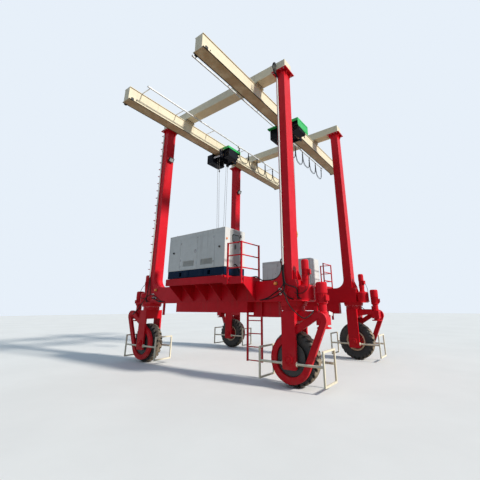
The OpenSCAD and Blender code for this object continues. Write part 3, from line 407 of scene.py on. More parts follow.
class Finish(Tree):
    """One procedural material, built from object coordinates."""

    def __init__(self, name, **constants):
        self.material = bpy.data.materials.new(name)
        super().__init__(self.material)
        surface = self.add("BsdfPrincipled")
        self.shader = surface.socket.node
        self.add("OutputMaterial", None, {0: surface}, None)
        for key, value in constants.items():
            self.shader.inputs[key.replace("_", " ")].default_value = value
        self.place = self.add("TexCoord", out="Object")

    def upward(self):
        """Upward part of the surface's own direction."""
        return self.along(self.add("TexCoord", out="Normal"))[2]

    def route(self):
        """Cosine and sine round a rope or cable, and metres along it."""
        return self.along(self.add("Attribute", {"attribute_name": "route"}, out="Vector"))

    def scaled(self, factors):
        """Object coordinates stretched by three factors."""
        return self.add("Mapping", None, {"Vector": self.place, "Scale": factors})

    def noise(self, scale, detail=3.0, rough=0.5, vector=None):
        """Cloudy value about 0.5 with this many cells a metre."""
        values = {"Vector": vector or self.place, "Scale": scale, "Detail": detail, "Roughness": rough}
        return self.add("TexNoise", None, values)

    def mix(self, factor, first, second):
        """Colour between two colours."""
        return self.add("Mix", {"data_type": "RGBA"}, {0: factor, 6: rgba(first), 7: rgba(second)}, 2)

    def bump(self, height, depth):
        """Normal bent by a height in units of depth metres."""
        return self.add("Bump", None, {"Strength": 1.0, "Distance": depth, "Height": height})

    def set(self, **parts):
        """Feeds the shader and gives the finished material."""
        for key, value in parts.items():
            self.links.new(value.socket, self.shader.inputs[key.replace("_", " ")])
        return self.material


def rgba(colour):
    """Colour with full alpha, or a link left as it is."""
    return colour if isinstance(colour, Number) else (*tuple(colour)[:3], 1.0)


def lifted(colour, amount):
    """Colour with an amount added to each of its parts."""
    return tuple(c + amount for c in colour)


def shade(colour, factor):
    """Colour made darker or lighter by a factor."""
    return tuple(min(1.0, c * factor) for c in tuple(colour)[:3])


DIRT = (0.10, 0.075, 0.055)
DUST = (0.42, 0.34, 0.25)
RUST = (0.16, 0.055, 0.025)


def flange_painted_shade(f, x, z, tint):
    """Painted shade under a runway beam: brown on downward faces, a near black band along the flange's lower
    edges.
    """
    under = f.upward().rise(-0.5, -0.9)
    # Painted shade: the faces that look down are tinted brown
    tint = f.mix(under * f.noise(2.5, 4, 0.6).rise(0.15, 0.6) * 0.7, tint, (0.40, 0.26, 0.12))
    # Painted shadow: a near black band under the flange's edges
    off = abs(abs(x) - RUNWAY_X)
    edge = off.rise(0.165, 0.180) * z.rise(FLANGE_TOP + 0.012, FLANGE_TOP - 0.002) * under
    return f.mix(edge * f.noise(6, 4, 0.6).rise(0.2, 0.45) * 0.96, tint, (0.012, 0.009, 0.008))


def splice_wear(f, x, z, tint):
    """Dark rust on the bolted plates that hang the runway beams."""
    band = z.rise(SPLIT - 0.0345, SPLIT - 0.0275) * z.rise(SPLIT + 0.0305, SPLIT + 0.0235) * abs(x).rise(2.4,
                                                                                                         2.3)
    return f.mix(band * f.noise(5, 4, 0.6).rise(0.2, 0.5) * 0.85, tint, (0.06, 0.035, 0.022))


def painted(name, colour, faded, roughness=0.42, runs=0.35, dust=0.3, chips=0.4, deck=False, wear_and_shade=None,
            gloss=0.16):
    """Machine paint: broad fading, dirt runs down the walls, dust near the ground, chips and orange peel."""
    f = Finish(name, Coat_Weight=0.02, Coat_Roughness=0.25, Specular_IOR_Level=gloss)
    x, y, z = f.along(f.place)
    fading = f.noise(0.7, 4, 0.6).rise(0.35, 0.68)
    tint = f.mix(fading * 0.7, colour, faded)
    fine = f.noise(7, 5, 0.65)
    tint = f.mix(fine.rise(0.35, 0.8) * 0.35, tint, shade(colour, 0.72))
    run = f.noise(1.0, 4, 0.6, f.scaled((13, 13, 0.8))).rise(0.54, 0.74)
    tint = f.mix(run * runs * f.noise(0.9, 2).rise(0.4, 0.62), tint, DIRT)
    low = z.rise(1.1, 0.1) * f.noise(5, 4, 0.7).rise(0.4, 0.75) * dust
    tint = f.mix(low, tint, DUST)
    chip = f.noise(23, 4, 0.6).rise(0.69, 0.72) * f.noise(1.7, 3).rise(0.52, 0.66) * chips
    tint = f.mix(chip, tint, RUST)
    # Extra marks for some finishes: rust on the hangers' splice plates, and painted shade under the runway
    # beams
    tint = wear_and_shade(f, x, z, tint) if wear_and_shade else tint
    peel = f.noise(150, 2)
    height = peel * 0.25 + f.noise(1.6, 2) * 3.0 - chip * 0.8
    if deck:
        n = f.upward().rise(0.8, 0.95)
        bar = ((x + y) * 95).sine() * ((x - y) * 95).sine()
        height = height + bar.rise(0.45, 0.8) * n * 2.2
        tint = f.mix(n * f.noise(4, 5, 0.7).rise(0.35, 0.6) * 0.6, tint, DUST)
    rough = fine * 0.22 + (roughness - 0.1) + low * 0.3 + chip * 0.3
    return f.set(Base_Color=tint, Roughness=rough, Normal=f.bump(height, 0.0012))


def metal(name, colour, roughness=0.4, metallic=0.85, grime=0.4):
    """Bare or zinc coated metal: mottled sheen, grime in cloudy patches and fine scratches."""
    f = Finish(name)
    patch = f.noise(9, 4, 0.6).rise(0.35, 0.7)
    dull = f.noise(2.2, 4, 0.7).rise(0.45, 0.75) * grime
    tint = f.mix(patch, shade(colour, 0.72), colour)
    tint = f.mix(dull, tint, DIRT)
    scratch = f.noise(60, 2, 0.5, f.scaled((1, 1, 12)))
    return f.set(Base_Color=tint, Roughness=patch * 0.15 + roughness + dull * 0.3,
                 Metallic=metallic - dull * 0.8, Normal=f.bump(scratch, 0.0006))


def moulded(name, colour, roughness=0.5, grain=260):
    """Moulded plastic or rubber: fine grain, bleached patches and dust on it."""
    f = Finish(name, Specular_IOR_Level=0.3)
    patch = f.noise(5, 4, 0.6).rise(0.3, 0.75)
    tint = f.mix(patch * 0.6, colour, tuple(0.8 * c + 0.015 for c in tuple(colour)[:3]))
    tint = f.mix(f.noise(3, 5, 0.7).rise(0.5, 0.8) * 0.25, tint, DUST)
    return f.set(Base_Color=tint, Roughness=patch * 0.2 + roughness, Normal=f.bump(f.noise(grain, 2), 0.0005))


def wheel_radius(f):
    """Distance from the nearest wheel's axle, and distance outwards from its middle plane."""
    x, y, z = f.along(f.place)
    across, up = abs(x) - STEER[0], z - AXLE_Z
    return (across * across + up * up) ** 0.5, abs(y) - STEER[1]


def tyre_finish(name, colour):
    """Tyre rubber: black sidewall with moulded rings, pale dust packed on the tread and between the lugs."""
    f = Finish(name)
    r = wheel_radius(f)[0]
    cloud = f.noise(6, 5, 0.65)
    dusty = r.rise(0.59, 0.612) * cloud.rise(0.15, 0.55) * 0.9
    film = f.noise(2.5, 4, 0.6).rise(0.4, 0.75) * 0.22
    tint = f.mix(film, colour, shade(DUST, 0.45))
    tint = f.mix(dusty, tint, shade(DUST, 0.85))
    rings = (r * 420.0).sine().rise(0.2, 0.9) * r.rise(0.40, 0.42) * r.rise(0.49, 0.47)
    height = rings * 1.5 + f.noise(90, 3) * 0.6
    return f.set(Base_Color=tint, Roughness=dusty * 0.25 + 0.62, Normal=f.bump(height, 0.0016))


def rim_finish(name, colour, pale):
    """Wheel disc: red hub, pale flaking rim ring on the inner side, black grease round the chain wheel."""
    f = Finish(name, Coat_Weight=0.1)
    r, side = wheel_radius(f)
    rusty = f.noise(11, 5, 0.7)
    tint = f.mix(r.rise(0.24, 0.26), colour, shade(colour, 0.55))
    tint = f.mix(r.rise(0.27, 0.285), tint, pale)
    tint = f.mix(rusty.rise(0.5, 0.68) * 0.5, tint, shade(RUST, 1.3))
    grease = side.rise(0.15, 0.19)
    tint = f.mix(grease, tint, (0.012, 0.011, 0.011))
    return f.set(Base_Color=tint, Roughness=rusty * 0.3 + 0.4, Normal=f.bump(rusty, 0.0012))


def rope_finish(name, colour):
    """Wire rope: six strands laid round the rope, read from the piece's own route attribute."""
    f = Finish(name)
    c, s, run = f.route()
    angle = f.add("Math", {"operation": "ARCTAN2"}, {0: s, 1: c})
    strand = abs((angle * 3.0 + run * 110.0).sine())
    tint = f.mix(strand, (0.012, 0.011, 0.010), colour)
    tint = f.mix(f.noise(8, 4).rise(0.5, 0.7) * 0.4, tint, RUST)
    return f.set(Base_Color=tint, Roughness=strand * -0.15 + 0.55, Metallic=strand * 0.6,
                 Normal=f.bump(strand, 0.0015))


def cable_finish(name, colour):
    """Cable sheath: dull black with dust and a faint twist along its route."""
    f = Finish(name, Specular_IOR_Level=0.2)
    c, s, run = f.route()
    dust = f.noise(4, 4, 0.6).rise(0.45, 0.75) * 0.12
    tint = f.mix(dust, colour, shade(DUST, 0.6))
    height = (run * 160.0 + c * 2.0).sine() * 0.25 + f.noise(120, 2)
    return f.set(Base_Color=tint, Roughness=dust * 0.4 + 0.48, Normal=f.bump(height, 0.0006))


def glass_finish(name, colour, roughness=0.08):
    """Dark glazing with a cloudy film of dust."""
    f = Finish(name, IOR=1.5, Coat_Weight=1.0, Coat_Roughness=0.03)
    film = f.noise(6, 4, 0.6).rise(0.4, 0.75) * 0.3
    return f.set(Base_Color=f.mix(film, colour, shade(DUST, 0.7)), Roughness=film * 0.5 + roughness)


def amber_finish(name, colour):
    """Ribbed amber lens: colour deepens in the grooves, and emission adds a faint painted glow."""
    # Emission here is a painted glow, not a lamp
    f = Finish(name, Coat_Weight=0.8, Coat_Roughness=0.1, Emission_Strength=0.25)
    x, y, z = f.along(f.place)
    rib = ((x + z) * 420.0).sine()
    tint = f.mix(rib.rise(-0.6, 0.9), shade(colour, 0.55), colour)
    tint = f.mix(f.noise(9, 4).rise(0.5, 0.8) * 0.2, tint, DUST)
    return f.set(Base_Color=tint, Emission_Color=tint, Roughness=rib * 0.05 + 0.25, Normal=f.bump(rib, 0.001))


class CranePaint(bpy.types.PropertyGroup):
    """Colours of the crane's finishes."""

    def tone(label, default):
        """Colour property with the given default."""
        return FloatVectorProperty(name=label, description=f"Colour of the {label.lower()}", subtype="COLOR",
                                   size=3, min=0.0, max=1.0, default=default)

    red: tone("Red paint", (0.62, 0.004, 0.014))
    cream: tone("Cream paint", (0.84, 0.76, 0.58))
    white: tone("White canopy", (0.72, 0.74, 0.74))
    navy: tone("Navy base", (0.001, 0.016, 0.048))
    green: tone("Green hood", (0.020, 0.46, 0.11))
    dark: tone("Machinery", (0.007, 0.009, 0.016))
    yellow: tone("Hook block", (0.62, 0.36, 0.02))
    zinc: tone("Zinc steel", (0.46, 0.47, 0.49))
    steel: tone("Dark steel", (0.07, 0.065, 0.062))
    rubber: tone("Tyre rubber", (0.012, 0.012, 0.013))
    amber: tone("Amber lens", (0.90, 0.24, 0.01))
    pipe: tone("Pipe plastic", (0.84, 0.84, 0.82))


class CraneSizes(bpy.types.PropertyGroup):
    """Sizes of the crane's fittings."""

    def length(label, text, default):
        """Length property in metres."""
        return FloatProperty(name=label, description=text, unit="LENGTH", min=0.0, default=default)

    bolt: length("Structure bolt", "Half the width over the corners of a structural bolt head", 0.017)
    small_bolt: length("Small bolt", "Half the width over the corners of a cover's bolt head", 0.009)
    weld: length("Weld bead", "Radius of a weld bead", 0.008)
    rope: length("Hoist rope", "Radius of a hoist rope", 0.0062)
    cable: length("Festoon cable", "Radius of a festoon cable", 0.0105)
    lug_depth: length("Lug depth", "Depth of the slots between the tyre lugs", 0.050)
    lugs: IntProperty(name="Lugs", description="Number of lugs on each shoulder of a tyre", min=8, max=40,
                      default=24)
    tyre_steps: IntProperty(name="Tyre steps", description="Points round a tyre", min=120, max=900,
                            default=480)


class CRANE_OT_finishes(bpy.types.Operator):
    """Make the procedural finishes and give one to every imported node"""

    bl_idname = "crane.finishes"
    bl_label = "Finishes"

    def execute(self, context):
        p = context.scene.crane_paint
        coral = tuple(min(1.0, c + d) for c, d in zip(p.red, (0.08, 0.008, 0.014)))
        FINISHES.update(
            red=painted("red_paint", p.red, coral, dust=0.16, runs=0.28),
            deck=painted("red_deck_paint", shade(p.red, 0.8), coral, 0.5, dust=0.7, deck=True),
            cream=painted("cream_paint", p.cream, shade(p.cream, 0.86), 0.45, runs=0.35, wear_and_shade=splice_wear),
            # Runway beams: their paint gets painted shade on the faces that look down
            beam=painted("runway_paint", p.cream, shade(p.cream, 0.88), 0.45, runs=0.3, wear_and_shade=flange_painted_shade),
            # Painted light: the bumpers' cream is lighter than the frame's, standing in for the sun on the
            # posts
            bumper=painted("bumper_paint", (0.90, 0.84, 0.68), shade(p.cream, 0.85), 0.5, 0.35, 0.05, 0.6),
            white=painted("white_paint", p.white, shade(p.white, 0.88), 0.35, 0.22, 0.3, 0.15),
            door=painted("door_paint", shade(p.white, 0.62), shade(p.white, 0.55), 0.35, 0.22, 0, 0.15),
            navy=painted("navy_paint", p.navy, lifted(p.navy, 0.003), 0.4, 0.1, 0, 0.1, gloss=0.05),
            green=painted("green_paint", p.green, lifted(p.green, 0.05), 0.32, runs=0.2, chips=0.2),
            dark=painted("machinery_paint", p.dark, lifted(p.dark, 0.004), 0.45, 0.06, 0, 0.1, gloss=0.06),
            yellow=painted("hook_paint", p.yellow, shade(p.yellow, 0.8), 0.45, chips=1.0),
            zinc=metal("zinc_steel", p.zinc),
            rail=metal("rail_metal", (0.86, 0.88, 0.90), 0.35, 0.2, 0.12),
            steel=metal("dark_steel", p.steel, 0.5, 0.7, 0.7),
            black=moulded("black_plastic", (0.010, 0.011, 0.013)),
            pipe=moulded("pipe_plastic", p.pipe, 0.45),
            amber=amber_finish("amber_plastic", p.amber),
            glass=glass_finish("dark_glass", (0.02, 0.03, 0.035)),
            lens=glass_finish("lamp_glass", (0.35, 0.37, 0.38), 0.2),
            tyre=tyre_finish("tyre_rubber", p.rubber),
            rim=rim_finish("rim_paint", p.red, (0.70, 0.58, 0.40)),
            rope=rope_finish("wire_rope", (0.16, 0.15, 0.14)),
            cable=cable_finish("cable_rubber", (0.005, 0.005, 0.006)))
        usual = {slot: finish for finish, slot in reversed(SLOTS.items())}
        own = {"platforms": "deck", "runway_beam_1": "beam", "runway_beam_2": "beam"}
        for k in CORNERS:
            own.update({f"bumpers_{k}": "bumper", f"rim_{k}": "rim"})
        for part in frame["record"]["subparts"]:
            node = frame["nodes"][part["node"]]
            chosen = FINISHES[own.get(part["node"], usual.get(part["material_slot"]))]
            for slot in node.material_slots:
                slot.material = chosen
            if not node.material_slots:
                node.data.materials.append(chosen)
        return {"FINISHED"}


class CRANE_OT_stage(bpy.types.Operator):
    """Pale floor, soft lights and the camera at the photo's place"""

    bl_idname = "crane.stage"
    bl_label = "Stage"

    def execute(self, context):
        scene = context.scene
        f = Finish("floor")
        cloud = f.noise(0.35, 4, 0.6).rise(0.3, 0.7)
        pale = f.mix(cloud, (0.76, 0.76, 0.75), (0.80, 0.80, 0.79))
        tint = f.mix(f.seen(), f.mix(cloud, (0.26, 0.21, 0.15), (0.30, 0.25, 0.18)), pale)
        FINISHES["floor"] = f.set(Base_Color=tint, Roughness=f.noise(3) * 0.1 + 0.8)
        piece("floor", lathe([(80, -0.02), (80, -0.003), (40, -0.003), (10, -0.003)], 96), "floor")
        scene.world = bpy.data.worlds.new("soft_studio")
        sky = Tree(scene.world)
        back, fill = (sky.add("Background", None, {0: (*colour, 1), 1: strength})
                      for colour, strength in (((0.80, 0.87, 0.95), 1.0), ((0.57, 0.79, 1.03), 0.40)))
        shown = sky.add("MixShader", None, {0: sky.seen(), 1: fill, 2: back})
        sky.add("OutputWorld", None, {0: shown}, None)
        for name, turn, strength, angle, colour in (
                ("key", (57, 0, 97), 4.0, 6, (1.0, 0.95, 0.86)),
                ("fill", (60, 0, 10), 0.16, 60, (0.80, 0.90, 1.0))):
            light = bpy.data.lights.new(name, "SUN")
            light.energy, light.angle, light.color = strength, math.radians(angle), colour
            lamp = bpy.data.objects.new(name, light)
            lamp.rotation_euler = [math.radians(v) for v in turn]
            scene.collection.objects.link(lamp)
        lens = bpy.data.cameras.new("camera")
        lens.sensor_width, lens.lens, lens.clip_end = 36.0, 22.018, 400.0
        lens.shift_x, lens.shift_y = -0.0337, -0.0558
        camera = bpy.data.objects.new("camera", lens)
        pitch, heading, roll = (math.radians(angle) for angle in (107.605, 35.842, -0.249))
        camera.location = (6.756, -9.183, 1.804)
        aim = Euler((pitch, 0, heading)).to_matrix() @ Euler((0, 0, roll)).to_matrix()
        camera.rotation_euler = aim.to_euler()
        scene.collection.objects.link(camera)
        scene.camera = camera
        scene.view_settings.view_transform = "Standard"
        return {"FINISHED"}


def rectangle_bead(half_x, half_y, z, radius):
    """Bead carried round a rectangle at a height."""
    corners = np.array([[-half_x, -half_y, z], [half_x, -half_y, z], [half_x, half_y, z],
                        [-half_x, half_y, z]])
    t = np.linspace(0, 1, 9)[:-1][None, :, None]
    path = (corners[:, None] * (1 - t) + np.roll(corners, -1, 0)[:, None] * t).reshape(-1, 3)
    return carried(path, round_profile(radius, 6), UP, closed=True)


class CRANE_OT_structure(bpy.types.Operator):
    """Bolts, port rings and weld beads of the sills, legs and beams"""

    bl_idname = "crane.structure"
    bl_label = "Structure fasteners"

    def execute(self, context):
        s = context.scene.crane_sizes
        plate = np.array([[x, y, LEG_TOP - PLATE] for x in (-0.225, -0.09, 0.05, 0.165)
                          for y in (-0.24, 0.24)])
        low = np.vstack([plate * (sx, 1, 1) + (sx * LEG[0], sy * LEG[1], 0) for sx, sy in CORNERS.values()])
        high = low + (0, 0, PLATE)
        on_frame("leg_flange_bolts", joined(bolts(low, DOWN, s.bolt), bolts(high, UP, s.bolt)), "zinc")
        holes = np.array([[sx * RUNWAY_X + x, sy * LEG[1] + y, SPLIT] for sx, sy in CORNERS.values()
                          for x in (-0.171, 0.171) for y in (-0.195, -0.065, 0.065, 0.195)])
        hanger = joined(bolts(holes + (0, 0, 0.022), UP, 0.012), bolts(holes - (0, 0, 0.022), DOWN, 0.012))
        on_frame("hanger_bolts", hanger, "zinc")
        ring = circle(0.315, 3, 55, 60) + (0, 0, SLEWING_TOP)
        ring = bolts(np.vstack([ring, ring * (1, -1, 1)]), UP, 0.014)
        on_frame("slewing_bolts", joined(*(at_corner(ring, k) for k in CORNERS)), "red")
        port = lathe([(0.111, 0), (0.135, 0), (0.135, 0.006), (0.132, 0.008), (0.114, 0.008), (0.111, 0.006)],
                     48, True)
        port = joined(port, bolt_circle(0.123, 8, 0.008, 0.007, 22.5))
        port = both_ends(towards(port, NEAR, (STEER[0] + 0.03, -SILL_FACE, SILL_TOP - 0.347)))
        on_frame("sill_ports", both_sides(port), "red")
        for name, half, x, levels, radius, finish in (
                ("leg_welds", LEG_HALF, LEG[0], (SILL_TOP, LEG_TOP - PLATE), s.weld, "red"),
                ("hanger_welds", HANGER_HALF, RUNWAY_X, (RUNWAY_TOP, LEG_TOP), s.weld * 0.8, "cream")):
            beads = [moved(rectangle_bead(*half, z, radius), (sx * x, sy * LEG[1], 0))
                     for sx, sy in CORNERS.values() for z in levels]
            on_frame(name, joined(*beads), finish)
        return {"FINISHED"}


def latch():
    """Flush lever latch: dished plate with a small lever, drawn along +Z."""
    plate = slab((-0.020, -0.034, 0), (0.020, 0.034, 0.005), 0.002, 0.010)
    lever = slab((-0.009, -0.024, 0.004), (0.009, 0.014, 0.012), 0.003, 0.006)
    return joined(plate, lever)


def knob(radius=0.027):
    """Round stop knob with a domed head, drawn along +Z."""
    return lathe([(radius * 1.15, 0), (radius * 1.15, 0.006), (radius * 0.7, 0.010), (radius * 0.7, 0.018),
                  (radius, 0.022), (radius, 0.032), (radius * 0.8, 0.038), (radius * 0.3, 0.040)], 20)


def hinge():
    """Two leaves on a barrel that stands up along +Y, drawn on the plane Z = 0."""
    barrel = lathe([(0.006, -0.045), (0.009, -0.042), (0.009, 0.042), (0.006, 0.045)], 10)
    return joined(towards(barrel, FAR, (0, 0, 0.009)), slab((-0.03, -0.04, 0), (-0.007, 0.04, 0.005), 0.0015),
                  slab((0.007, -0.04, 0), (0.03, 0.04, 0.005), 0.0015))


def louvre_panel(width, height, count):
    """Frame with sloped slats, drawn on Z = 0: each slat is one thin section carried across the panel."""
    x, y, bar = width / 2, height / 2, 0.012
    bars = [slab((-x, -y, 0), (x, bar - y, 0.008), 0.002), slab((-x, y - bar, 0), (x, y, 0.008), 0.002),
            slab((-x, -y, 0), (bar - x, y, 0.008), 0.002), slab((x - bar, -y, 0), (x, y, 0.008), 0.002)]
    pitch = (height - 0.03) / count
    blade = carried([(0.008 - x, 0, 0), (x - 0.008, 0, 0)],
                    [(0.0, -0.002), (-0.8 * pitch, -0.004), (-0.8 * pitch, 0.004), (0.0, 0.012)], UP)
    rows = np.zeros((count, 3))
    rows[:, 1] = 0.018 - y + pitch * np.arange(count)
    return joined(*bars, copied(blade, np.eye(3), rows))


def rounded_frame(half_x, half_y, radius, width, depth):
    """Bead of a rectangular section carried round a rounded rectangle on Z = 0."""
    path = np.column_stack([rounded((half_x - radius, half_y - radius), radius, 6), np.zeros(24)])
    profile = [(-width / 2, 0), (-width / 2, depth * 0.7), (-width / 3, depth), (width / 3, depth),
               (width / 2, depth * 0.7), (width / 2, 0)]
    return carried(path, profile, UP, closed=True)


class CRANE_OT_generator(bpy.types.Operator):
    """Doors, latches, hinges, window and grilles of the generator set, and the far cabinet's fittings"""

    bl_idname = "crane.generator"
    bl_label = "Generator and cabinet fittings"

    def execute(self, context):
        s = context.scene.crane_sizes
        front, back, start, end = CANOPY_FRONT, CANOPY_BACK, CANOPY_START, CANOPY_END

        def on_walls(shapes):
            """Shapes with their places in X and Z, on the front wall and again on the back wall."""
            near = joined(*(towards(shape, NEAR, (x, front, z)) for shape, x, z in shapes))
            return joined(near, moved(stretched(near, y=-1), (0, front + back, 0)))

        seams = (-0.70, 0.07, 0.80)
        edges = (start + 0.02, *seams, end - 0.02)
        doors = [(rounded_frame((x1 - x0) / 2 - 0.014, 0.475, 0.02, 0.010, 0.004), (x0 + x1) / 2, 3.385)
                 for x0, x1 in zip(edges, edges[1:])]
        on_frame("canopy_door_edges", on_walls(doors), "white", sharp=50)
        places = ((-0.66, 3.731), (0.76, 3.780), (0.765, 3.054), (-0.66, 3.014), (-0.66, 3.20))
        on_frame("canopy_latches", on_walls([(latch(), x, z) for x, z in places]), "zinc")
        on_frame("canopy_knobs", on_walls([(knob(), x, 3.457) for x in (-1.0, 1.0)]), "black")
        on_frame("canopy_hinges", on_walls([(hinge(), x, z) for x in seams for z in (3.02, 3.75)]), "white")
        cap = lathe([(0.03, 0), (0.034, 0.004), (0.034, 0.018), (0.026, 0.024)], 16)
        lock = lathe([(0.055, 0), (0.058, 0.004), (0.058, 0.010), (0.046, 0.014), (0.044, 0.009),
                      (0.02, 0.009), (0.02, 0.018), (0.014, 0.021)], 32)
        cap = stretched(cap, 0.6, 0.6, 0.8)
        on_frame("canopy_lock", on_walls([(lock, 0.0, 3.44), (cap, 0.067, 3.857)]), "zinc")
        door_x = end - 0.010
        door = slab((-0.225, -0.54, 0), (0.225, 0.54, 0.006), 0.002, 0.01)
        window_at = (door_x + 0.006, -2.53, 3.746)
        panes = slab((-0.155, -0.10, 0), (0.155, 0.10, 0.004), 0.0015, 0.035)
        on_frame("canopy_end_door", towards(door, RIGHT, (door_x, -2.5625, 3.43)), "door")
        on_frame("canopy_window", towards(panes, RIGHT, window_at), "glass")
        seal = rounded_frame(0.160, 0.105, 0.04, 0.022, 0.009)
        on_frame("canopy_window_seal", towards(seal, RIGHT, window_at), "black")
        pull = joined(slab((-0.02, -0.08, 0), (0.02, 0.08, 0.005), 0.002, 0.01),
                      tube([(0, 0.05, 0.004), (0, 0.05, 0.03), (0, -0.055, 0.034)], 0.007, 8, RIGHT),
                      lathe([(0.012, 0), (0.012, 0.012), (0.007, 0.016)], 12))
        fittings = [towards(pull, RIGHT, (door_x + 0.006, -2.565, 3.49))]
        fittings += [towards(hinge(), RIGHT, (end, -2.30, z)) for z in (3.05, 3.484, 3.85)]
        on_frame("canopy_end_fittings", joined(*fittings), "steel")
        lamp = slab((-0.028, -0.028, 0), (0.028, 0.028, 0.022), 0.006, 0.012)
        on_frame("canopy_side_lamp", towards(lamp, RIGHT, (end, -2.95, 3.684)), "amber")
        grille = towards(louvre_panel(0.66, 0.80, 18), LEFT, (start, -2.565, 3.42))
        on_frame("canopy_radiator_grille", grille, "white")
        rail = [slab((start - 0.004, y - 0.006, 3.998), (end + 0.004, y + 0.006, 4.018), 0.003)
                for y in (front, back)]
        eyes = lathe([(0.018, -0.008), (0.034, -0.008), (0.034, 0.008), (0.018, 0.008)], 20, True)
        eyes = copied(eyes, facing(RIGHT), [(x, y, 4.045) for x in (-1.05, 1.0) for y in (-2.90, -2.23)])
        on_frame("canopy_roof_edges", joined(*rail, eyes), "white")
        base = joined(*(slab((x - 0.09, front - 0.002, 2.66), (x + 0.09, front + 0.008, 2.86), 0.003)
                        for x in (-0.35, 0.28)))
        on_frame("base_cover_plates", base, "navy")
        feet = [(x, y, DECK_Z + 0.003) for x in (-1.19, -0.95, 0.93, 1.15)
                for y in (front - 0.018, back + 0.018)]
        on_frame("base_bolts", bolts(feet, UP, s.small_bolt), "zinc")
        self.cabinet()
        return {"FINISHED"}

    def cabinet(self):
        """Door edges, handles, hinges and vents of the far cabinet."""
        (x0, y0, z0), (x1, y1, z1) = [tuple(map(float, p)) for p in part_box("far_cabinet")]
        width, middle = (x1 - x0) / 3, (z0 + z1) / 2
        edge = rounded_frame(width / 2 - 0.03, (z1 - z0) / 2 - 0.09, 0.02, 0.010, 0.003)
        vent = louvre_panel(0.34, 0.16, 6)
        frames, latches, hinges, vents = [], [], [], []
        for x in x0 + width * (np.arange(3) + 0.5):
            for wall, y, side in ((FAR, y1, 1), (NEAR, y0, -1)):
                frames.append(towards(edge, wall, (x, y - side * 0.003, middle + 0.01)))
                latches.append(towards(latch(), wall, (x + width / 2 - 0.09, y - side * 0.006, middle)))
                vents.append(towards(vent, wall, (x, y - side * 0.006, z0 + 0.28)))
                hinges += [towards(hinge(), wall, (x - width / 2 + 0.03, y - side * 0.012, z))
                           for z in (z0 + 0.25, z1 - 0.2)]
        on_frame("cabinet_door_edges", joined(*frames, *vents), "white", sharp=50)
        on_frame("cabinet_latches", joined(*latches), "black")
        on_frame("cabinet_hinges", joined(*hinges), "steel")


def tyre_shape(steps, lugs, depth):
    """Tyre about +Z: a smooth section turned full circle, pushed in at the slanted slots between the lugs."""
    outer = AXLE_Z
    # Half widths of the plain middle and of a slot, width of its flank, radius where slots begin
    plain, groove, flank, foot = 0.048, 0.036, 0.010, 0.53
    half = [(0.306, -0.122), (0.325, -0.140), (0.365, -0.163), (0.42, -0.172), (0.48, -0.1745),
            (0.545, -0.171), (0.585, -0.155), (0.606, -0.125), (0.616, -0.085), (0.6195, -0.045),
            (outer, 0.0)]
    half = np.array(half)
    section = np.vstack([half, half[-2::-1] * (1, -1)])
    section = smooth_route(np.column_stack([section, np.zeros(len(section))]), 3)[:, :2]
    section[:, 0] = np.minimum(section[:, 0], outer)
    a = np.linspace(0, 2 * np.pi, steps, endpoint=False)[None]
    r, h = section[:, :1], section[:, 1:]
    phase = (a * lugs / (2 * np.pi) - np.sign(h) / 4 - np.abs(h) * 1.1 * lugs / (2 * np.pi)) % 1.0
    arc = np.abs(phase - 0.5) * 2 * np.pi * outer / lugs
    slot = np.clip((arc - (np.pi * outer / lugs - groove)) / flank, 0, 1)
    slot = slot * slot * (3 - 2 * slot)
    shoulder = np.clip((np.abs(h) - plain) / flank, 0, 1) * np.clip((r - foot) / 0.03, 0, 1)
    push = slot * shoulder
    r = r - depth * push
    h = h - np.sign(h) * 0.016 * push * (section[:, :1] < 0.612)
    rings = np.stack([r * np.cos(a), r * np.sin(a), np.broadcast_to(h, r.shape)], -1)
    return rings.reshape(-1, 3), [grid_faces(len(section), steps, True, True)]


def teardrop(big, small, points=40):
    """Closed outline of two circles and the straight runs that touch both, in X and Z from the axle."""
    d = np.array([DRIVE_X, DRIVE_Z - AXLE_Z])
    turn, lean = math.atan2(d[1], d[0]), math.acos((big - small) / float(np.linalg.norm(d)))
    a = np.linspace(turn + lean, turn + 2 * np.pi - lean, 2 * points)
    b = np.linspace(turn - lean, turn + lean, points)
    wheel = big * np.stack([np.cos(a), np.sin(a)], -1)
    top = d + small * np.stack([np.cos(b), np.sin(b)], -1)
    t = np.linspace(0, 1, 12)[1:-1, None]
    return np.vstack([wheel, wheel[-1] * (1 - t) + top[0] * t, top, top[-1] * (1 - t) + wheel[0] * t])


def guard_lip(big, small, width, depth):
    """Square lip carried round the chain guard's outline, standing out from the guard's face."""
    flat = teardrop(big, small)
    path = np.column_stack([flat[:, 0], np.full(len(flat), GUARD_Y), flat[:, 1] + AXLE_Z])
    profile = [(-width / 2, 0), (-width / 2, depth * 0.8), (0, depth), (width / 2, depth * 0.8),
               (width / 2, 0)]
    return carried(path, profile, NEAR, closed=True)


def cowl_grille(radius):
    """Rings and a boss over a motor fan, drawn on Z = 0."""
    rings = [lathe([(r - 0.003, 0), (r + 0.003, 0), (r + 0.003, 0.006), (r - 0.003, 0.006)], 36, True)
             for r in np.linspace(0.35, 0.9, 5) * radius]
    bar = slab((0.2 * radius, -0.004, 0.001), (0.92 * radius, 0.004, 0.008), 0.001)
    bars = [turned(bar, ((c, -s, 0), (s, c, 0), (0, 0, 1))) for c, s in ((1, 0), (0, 1), (-1, 0), (0, -1))]
    boss = lathe([(0.25 * radius, 0), (0.25 * radius, 0.007), (0.18 * radius, 0.010)], 20)
    return joined(*rings, *bars, boss)


